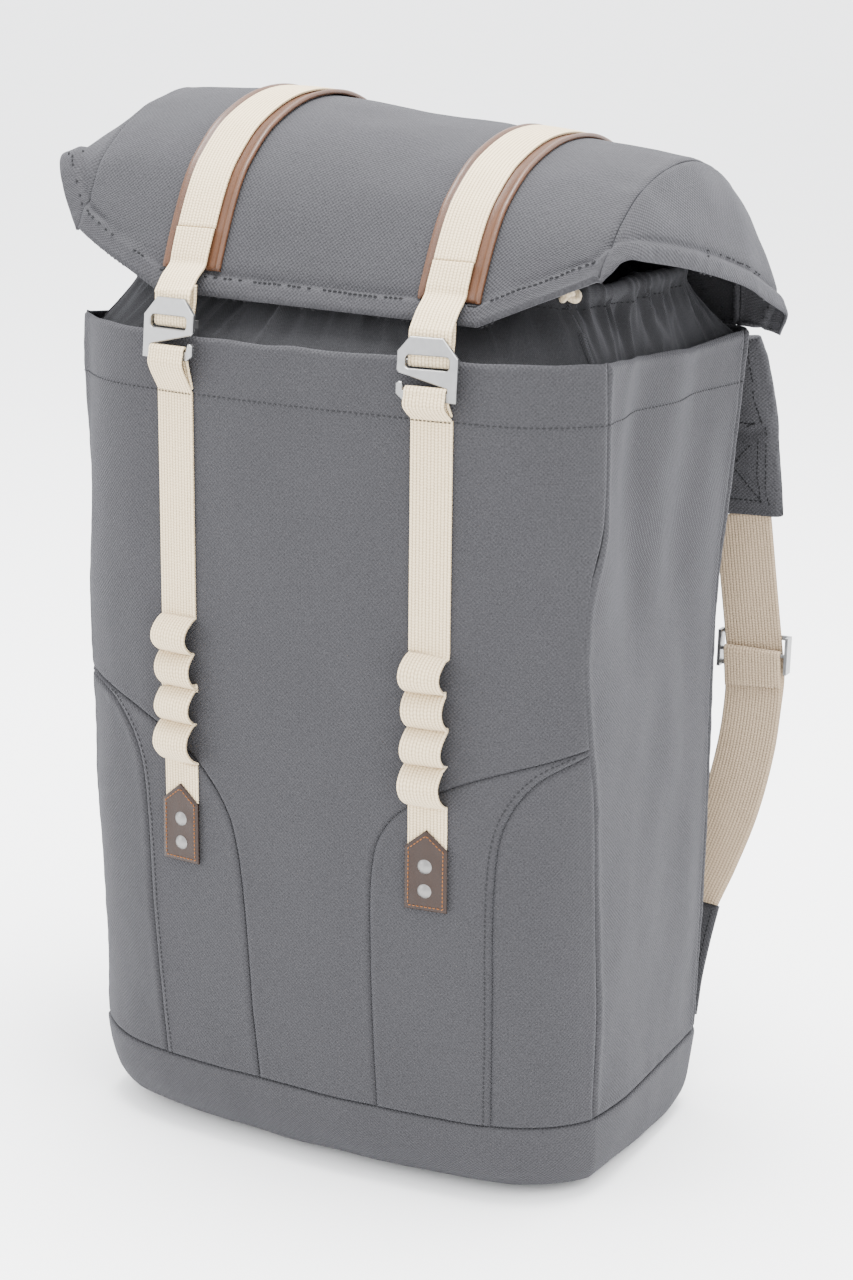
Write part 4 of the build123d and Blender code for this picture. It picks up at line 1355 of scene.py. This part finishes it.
def hook_place(side, local):
    """Points of the hook's own frame, across, back and up from its top edge, in the bag's frame."""
    local = np.asarray(local, float)
    y = local[:, 1] * math.cos(HOOK_LEAN) + local[:, 2] * math.sin(HOOK_LEAN)
    z = -local[:, 1] * math.sin(HOOK_LEAN) + local[:, 2] * math.cos(HOOK_LEAN)
    turn = side * STRAP_TURN
    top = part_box("left_hook" if side < 0 else "right_hook")[1].z / MM
    x = side * STRAP_X + local[:, 0] * math.cos(turn) - y * math.sin(turn)
    y = HOOK_TOP_Y + local[:, 0] * math.sin(turn) + y * math.cos(turn)
    return cols(x, y, top + z)


def hook_straps():
    """Webbing from the lid down behind the hook's plate, round its rear bar and up again."""
    ply = HOOK_T + GAP + WEB_T / 2
    bar = HOOK_T + GAP + WEB_T + 0.1 + REAR_BAR_R
    turn_r = REAR_BAR_R + 0.1 + WEB_T / 2
    for name, side in SIDES:
        local = [(0, ply, 3.0), (0, ply, -4.0), (0, ply, -REAR_BAR_DROP + 2)]
        for step in range(7):
            angle = math.pi * step / 6
            local.append((0, bar - turn_r * math.cos(angle), -REAR_BAR_DROP - turn_r * math.sin(angle)))
        behind = bar + turn_r
        local += [(0, behind + 0.2, -REAR_BAR_DROP + 5), (0, behind + 1.2, -1), (0, behind + 1.0, 8)]
        low = hook_place(side, local)
        top = LID.at(lid_line(side * STRAP_X + WEB_SHIFT, LID_HEM + 3, SPLICE + 3, 5.0), 1.25 + WEB_T)
        fall = low[0] - top[-1]
        loose = [top[-1] + fall * share - np.array((0, bow, 0)) for share, bow in ((0.45, 1.6), (0.8, 0.9))]
        spine = curve(np.concatenate([top, loose, low]), 1.3)
        bend = ease(top[0, 2], low[0, 2], spine[:, 2])[:, None]
        across = np.array((1.0, 0, 0)) * (1 - bend) + turned_across(side) * bend
        spine = spine - np.cross(unit(np.gradient(spine, axis=0)), across) * (WEB_T / 2)
        strap = sweep(f"{name}_hook_strap_webbing", spine, across, band_section(WEB_W, WEB_T, bow=0.1))
        belongs(strap, None, CREAM, [f"{name}_strap_end"])
        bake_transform(strap)


# ---------- front straps ----------
def on_front(tree, x, z):
    """Y of the front surface."""
    found = tree.ray_cast(Vector((x, -400, z)), Vector((0, 1, 0)))
    return found[0].y


def strap_spine(tree, side, heights):
    """A line down the front at the strap's place, resting on what stands proudest across its width."""
    middle = side * STRAP_X
    slope = side * math.tan(STRAP_TURN)
    spine = []
    for z in heights:
        reach = [on_front(tree, middle + x, z) - slope * x for x in (-10, 0, 10)]
        spine.append((middle, min(reach) - 0.1, z))
    spine = np.array(spine)
    kernel = np.ones(5) / 5
    spine[2:-2, 1] = np.convolve(spine[:, 1], kernel, "valid")
    return spine


def loop_rise(z):
    """How far the daisy-chain webbing bulges between its tacks."""
    rise = np.zeros(len(z))
    for index, (high, low) in enumerate(zip(TACKS_Z, TACKS_Z[1:])):
        share = np.clip((high - z) / (high - low), 0, 1)
        rise += (LOOP_RISE + LOOP_UNEVEN[index]) * np.sin(math.pi * share) ** 0.7
    return rise


def front_straps(tree):
    seams, tacks = [], []
    for name, side in SIDES:
        across = turned_across(side)
        flat_part = np.arange(HEM_Z + 1, TACKS_Z[0] + 1, -2.0)
        looped = np.arange(TACKS_Z[0], TACKS_Z[-1], -0.9)
        foot = np.arange(TACKS_Z[-1], PATCH_LOW + 3, -2.0)
        heights = np.concatenate([flat_part, looped, foot])
        base = strap_spine(tree, side, heights)
        rise = loop_rise(heights)
        base[:, 1] -= rise
        base[:, 0] += 0.9 * np.sin(heights / 9.0) * ease(0, 4, rise)
        widths = WEB_W - 0.9 * (1 - ease(0, 6, rise)) * (rise > 0)
        sections = [band_section(w, WEB_T, bow=0.12 + 0.05 * r) for w, r in zip(widths, rise)]
        strap = sweep(f"{name}_front_webbing", base, across, np.array(sections))
        belongs(strap, "bag", CREAM, [f"{name}_front_strap", f"{name}_gear_loops"])
        for z in TACKS_Z:
            spot = base[np.abs(heights - z).argmin()]
            for row in (-0.7, 0.7):
                start = spot + np.array((0, -1.5, row))
                tacks.append([start + across * u for u in np.linspace(-9.5, 9.5, 9)])
        hook_loop(name, side, across, base[0])
        patch(name, side, across, tree)
        start = np.array((side * STRAP_X, base[0, 1] - WEB_T, HEM_Z))
        seams.append([start + across * u for u in np.linspace(-11, 11, 9)])
    return seams, tacks


def hook_loop(name, side, across, top):
    """End of the front strap, up in front of the hook's lower bar, over it and down behind."""
    front = -GAP - WEB_T / 2
    back = HOOK_T + GAP + WEB_T / 2
    middle = (front + back) / 2
    crest = HOOK_BAR_TOP + GAP + WEB_T / 2
    local = [(0, front - 0.5, HOOK_BAR_LOW - 3), (0, front, -31), (0, front, crest - 1.2)]
    half = (back - front) / 2
    for step in range(1, 6):
        angle = math.pi * step / 6
        local.append((0, middle - half * math.cos(angle), crest - 1.2 + 2.0 * math.sin(angle)))
    local += [(0, back, crest - 1.2), (0, back, -31), (0, back + 1.0, HOOK_BAR_LOW - 1)]
    arc = hook_place(side, local)
    foot = top + np.array((0, -WEB_T * 0.6, 0))
    behind = np.array((arc[-1][0], top[1] - 0.2, HEM_Z + 3))
    route = np.concatenate([[foot], arc, [behind]])
    spine = curve(route, 1.2)
    spine[:, 0] = side * STRAP_X + (spine[:, 0] - side * STRAP_X) * 0.4
    section = band_section(WEB_W - 0.8, WEB_T, bow=0.1) - (0, WEB_T / 2)
    loop = sweep(f"{name}_hook_loop_webbing", spine[::-1], across, section)
    belongs(loop, "bag", CREAM, [f"{name}_hook_loop"])


def patch(name, side, across, tree):
    """Pointed leather patch riveted over the strap's lower end."""
    half = PATCH_W / 2
    heights = np.linspace(PATCH_LOW - 4, PATCH_TIP + 4, 16)
    rest = np.array([(z, on_front(tree, side * STRAP_X, z)) for z in heights])

    def place(flat):
        y = np.interp(flat[:, 1], rest[:, 0], rest[:, 1])
        return cols(side * STRAP_X + flat[:, 0] * across[0], y + flat[:, 0] * across[1], flat[:, 1])
    skin = Skin(place)
    corners = (
        (-half, PATCH_LOW), (half, PATCH_LOW), (half, PATCH_SHOULDER), (0, PATCH_TIP),
        (-half, PATCH_SHOULDER),
    )
    outline = polygon(corners, 1.5)
    leather_piece = panel(
        f"{name}_leather_patch", skin, outline, spacing=2.5, tuck=0.6, ridge=0.1, thickness=LEATHER_T,
        lift=WEB_T + LEATHER_T,
    )
    belongs(leather_piece, "bag", BROWN, [f"{name}_patch"])
    inset = half - 2.4
    low = PATCH_LOW + 2.4
    path = polygon((
        (-inset, low), (inset, low), (inset, PATCH_SHOULDER - 1),
        (0, PATCH_TIP - 3.2), (-inset, PATCH_SHOULDER - 1),
    ), 1.0)
    stitches(
        f"{name}_patch_stitching", [skin.at(path, WEB_T + LEATHER_T)], solid_tree([leather_piece]), "bag",
        "brown_leather", ORANGE_THREAD, pitch=2.5, length=1.9, girth=0.32,
    )


# ---------- carrying parts ----------
def mirrored(points, side):
    return np.array([(side * x, y, z) for x, y, z in points], float)


PAD_VOXEL = 4.0
PAD_SWELL = 3.0
BOX_CENTRE = 157.5
BOX_MIDDLE = 408.0
BOX_LEAN = 0.075      # the pad leans outwards as it goes down
BOX_FACE = 131.0
BOX_CORNERS = ((-19, 385), (19, 385), (19, 432), (-19, 432))   # the box stitched over the webbing's end


def simulate(pad, pressure, cap):
    """Inflates a padded piece as cloth and keeps each point within cap of where it was."""
    before = np.array([v.co for v in pad.data.vertices])
    cloth = pad.modifiers.new("cloth", "CLOTH")
    settings = cloth.settings
    settings.quality = 6
    settings.mass = 0.3
    settings.tension_stiffness = 40
    settings.compression_stiffness = 40
    settings.shear_stiffness = 20
    settings.bending_stiffness = 1.5
    settings.use_pressure = True
    settings.uniform_pressure_force = pressure
    settings.effector_weights.gravity = 0
    scene = bpy.context.scene
    scene.frame_start = 1
    scene.frame_end = 20
    for index in range(1, 21):
        scene.frame_set(index)
    shown = pad.evaluated_get(bpy.context.evaluated_depsgraph_get())
    after = np.array([v.co for v in shown.data.vertices])
    pad.modifiers.remove(cloth)
    scene.frame_set(1)
    move = after - before
    size = np.linalg.norm(move, axis=1, keepdims=True)
    move = move * np.minimum(1, cap * MM / np.maximum(size, 1e-9))
    pad.data.vertices.foreach_set("co", (before + move).ravel())
    pad.data.update()


def box_lines(side):
    """The stitched box and its cross on a pad, as lines a little in front of it."""
    corner = []
    for u, z in BOX_CORNERS:
        x = BOX_CENTRE + u - (z - BOX_MIDDLE) * BOX_LEAN
        corner.append(np.array((side * x, BOX_FACE, z)))
    ends = [(0, 1), (1, 2), (2, 3), (3, 0), (0, 2), (1, 3)]
    return [np.linspace(corner[a], corner[b], 24) for a, b in ends]


def shoulder_pad(name, side):
    spine = curve(mirrored(PAD_ROUTE, side), 4.0)
    width = PAD_W - 3
    depth = PAD_T - PAD_SWELL
    section = band_section(width, depth, cells=10) - (0, depth / 2)
    pad = sweep(f"{name}_shoulder_pad_canvas", spine, (1, 0, 0), section)
    pad.data.remesh_voxel_size = PAD_VOXEL * MM
    bpy.context.view_layer.objects.active = pad
    bpy.ops.object.select_all(action="DESELECT")
    pad.select_set(True)
    bpy.ops.object.voxel_remesh()
    simulate(pad, 4.0, 5.0)
    points = np.array([v.co for v in pad.data.vertices]) / MM
    normals = np.array([v.normal for v in pad.data.vertices])
    lines = np.concatenate(box_lines(side))
    gap = np.linalg.norm(points[:, None, ::2] - lines[None][..., ::2], axis=2).min(axis=1)
    middle = np.interp(points[:, 2], spine[::-1, 2], spine[::-1, 0])
    border = np.maximum(0, PAD_W / 2 - np.abs(points[:, 0] - middle))
    pinch = 1.5 * np.exp(-((gap / 4.0) ** 2)) + 1.0 * np.exp(-(((border - 6) / 2.5) ** 2))
    flat_end = 2.6 * ease(440, 425, points[:, 2])
    move = -np.minimum(pinch + flat_end, 2.7) * np.abs(normals[:, 1])
    points = points + normals * move[:, None]
    pad.data.vertices.foreach_set("co", (points * MM).ravel())
    finer = pad.modifiers.new("finer", "SUBSURF")
    finer.levels = 1
    finer.render_levels = 1
    pad.data.shade_smooth()
    belongs(pad, f"{name}_shoulder", GREY_SIMULATED, [f"{name}_shoulder_pad"])
    tree = solid_tree([pad])
    rows = []
    for face_y in (-30, 30):
        for line in box_lines(side):
            rows.append(line + (0, face_y, 0))
        for edge in (-1, 1):
            x = spine[:, 0] + edge * (PAD_W / 2 - 6)
            rows.append(cols(x, spine[:, 1] + face_y, spine[:, 2])[2:-2])
    stitches(
        f"{name}_shoulder_pad_stitching", rows, tree, f"{name}_shoulder", "grey_canvas", GREY_THREAD,
        pitch=3.4, length=2.5,
    )


def shoulder_webbing(name, side):
    spine = curve(mirrored(WEB_ROUTE, side), 2.5)
    section = band_section(SHOULDER_WEB_W, WEB_T, cells=12) - (0, WEB_T / 2)
    belt = sweep(f"{name}_shoulder_belt", spine, (1, 0, 0), section)
    belongs(belt, f"{name}_shoulder", SHADED, [f"{name}_shoulder_webbing"])
    bar_y, bar_r = SLIDER_BAR
    turn_r = bar_r + 0.1 + WEB_T / 2
    points = list(RETURN_ROUTE)
    x, y, z = SLIDER
    y += bar_y
    for angle in np.linspace(0, math.pi, 9):
        points.append((x, y + turn_r * math.cos(angle), z + turn_r * math.sin(angle)))
    points += [(x + 0.8, y - turn_r, z - 8), (x + 2, y - turn_r + 0.4, z - 22)]
    spine = curve(mirrored(points, side), 1.2)
    belt = sweep(f"{name}_return_belt", spine, (1, 0, 0), section)
    belongs(belt, f"{name}_shoulder", SHADED, [f"{name}_return_webbing"])


def bottom_tab(name, side):
    spine = curve(mirrored(TAB_ROUTE, side), 3.0)
    run = chords(TAB_ROUTE)
    width = np.interp(np.linspace(0, run[-1], len(spine)), run, TAB_WIDTHS)
    sections = np.array([band_section(w, 3.0, cells=14, bow=0.6) - (0, 1.5) for w in width])
    tab = sweep(f"{name}_bottom_tab_canvas", spine[::-1], (1, 0, 0), sections[::-1])
    sewn(tab, f"{name}_bottom_tab")
    rows = []
    for edge in (-1, 1):
        shift = edge * (width / 2 - 4)
        for face_y in (-12, 12):
            rows.append(cols(spine[:, 0] + shift, spine[:, 1] + face_y, spine[:, 2])[1:-1])
    stitches(f"{name}_bottom_tab_stitching", rows, solid_tree([tab]), "bag", "grey_canvas", GREY_THREAD)


def box_of(node):
    return [np.array(corner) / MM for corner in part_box(node)]


def upright_strip(name, box, x, width, rows, cells, node):
    """A canvas strip as tall and deep as a box, standing at x."""
    low, high = box
    spine = cols(x, (low[1] + high[1]) / 2, np.linspace(high[2], low[2], rows))
    depth = high[1] - low[1]
    strip = sweep(name, spine, (1, 0, 0), band_section(width, depth, cells=cells) - (0, depth / 2))
    sewn(strip, node)


def anchor(name):
    """Canvas tongue that sews the pad's top to the back panel."""
    node = f"{name}_strap_anchor"
    box = low, high = box_of(node)
    upright_strip(f"{name}_anchor_canvas", box, (low[0] + high[0]) / 2, high[0] - low[0], 9, 8, node)


def grab_loop():
    half = list(HAUL_HALF)
    route = [(x, y, HAUL_Z) for x, y in half] + [(-x, y, HAUL_Z) for x, y in half[:-1][::-1]]
    section = band_section(HAUL_W, HAUL_T, cells=8, bow=0.3) - (0, HAUL_T / 2)
    loop = sweep("grab_loop_webbing", curve(route, 2.0), (0, 0, 1), section)
    sewn(loop, "haul_loop", body="grab_loop")
    node = "haul_loop_ends"
    for name, side in SIDES:
        upright_strip(f"{name}_grab_loop_end", box_of(node), side * half[0][0], 9, 7, 5, node)


# ---------- CAD pieces whose shape stays ----------
def finish_cad_nodes():
    looks = {"base_board": STIFF}
    for name, _ in SIDES:
        looks[f"{name}_hook"] = SATIN
        looks[f"{name}_slider"] = SATIN
        looks[f"{name}_rivets"] = STEEL
    for node, look in looks.items():
        mesh = frame["nodes"][node].data
        mesh.materials.clear()
        mesh.materials.append(look)


def add_stitching(sack, seams, lid, back, quilting, collar_piece, collar_rows):
    cloth = ("bag", "grey_canvas", SOFT_THREAD)
    body = solid_tree(sack)
    for index, line in enumerate(seams):
        inset = 4.6 if line[0, 0] < 0 else -4.6
        stitches(f"applique_stitching_{index}", [line[4:]], body, *cloth, inset=inset)
    stitches("mouth_hem_stitching", [ring(HEM_Z, 0.4)[::3]], body, *cloth, pitch=3.4)
    stitches(
        "lid_hem_stitching", [HEM_LINE[3:-3]], solid_tree(lid), "lid", "grey_canvas", SOFT_THREAD,
        inset=-LID_HEM + 1.0, girth=0.5, rise=0.35,
    )
    stitches("back_quilting", quilting, solid_tree([back]), *cloth, pitch=4.0, length=3.0)
    rows = [row[::4] for row in collar_rows]
    tree = solid_tree([collar_piece])
    stitches("collar_tunnel_stitching", rows, tree, "bag", "lining_canvas", GREY_THREAD, pitch=3.6)


def main():
    add_camera()
    drawcord()
    studio()
    fronts, seams = front_panels()
    sides = side_panels()
    back, quilting = back_panels()
    base_parts()
    collar_piece, collar_rows, collar_height = collar()
    lid = lid_pieces()
    lid_seam_piping()
    lid_straps()
    hook_straps()
    front_tree = solid_tree(fronts)
    strap_seams, tacks = front_straps(front_tree)
    for name, side in SIDES:
        shoulder_pad(name, side)
        shoulder_webbing(name, side)
        bottom_tab(name, side)
        anchor(name)
    grab_loop()
    finish_cad_nodes()
    add_stitching(fronts + sides + [back], seams, lid, back, quilting, collar_piece, collar_rows)
    straps = [o for o in bpy.data.objects if o.name.endswith("_front_webbing")]
    strap_tree = solid_tree(straps)
    cloth = (strap_tree, "bag", "cream_webbing")
    stitches("strap_seam_stitching", strap_seams, *cloth, DARK_THREAD, pitch=2.4, length=1.9)
    stitches("gear_loop_tacks", tacks, *cloth, CREAM_THREAD, pitch=1.6, length=1.5)


main()
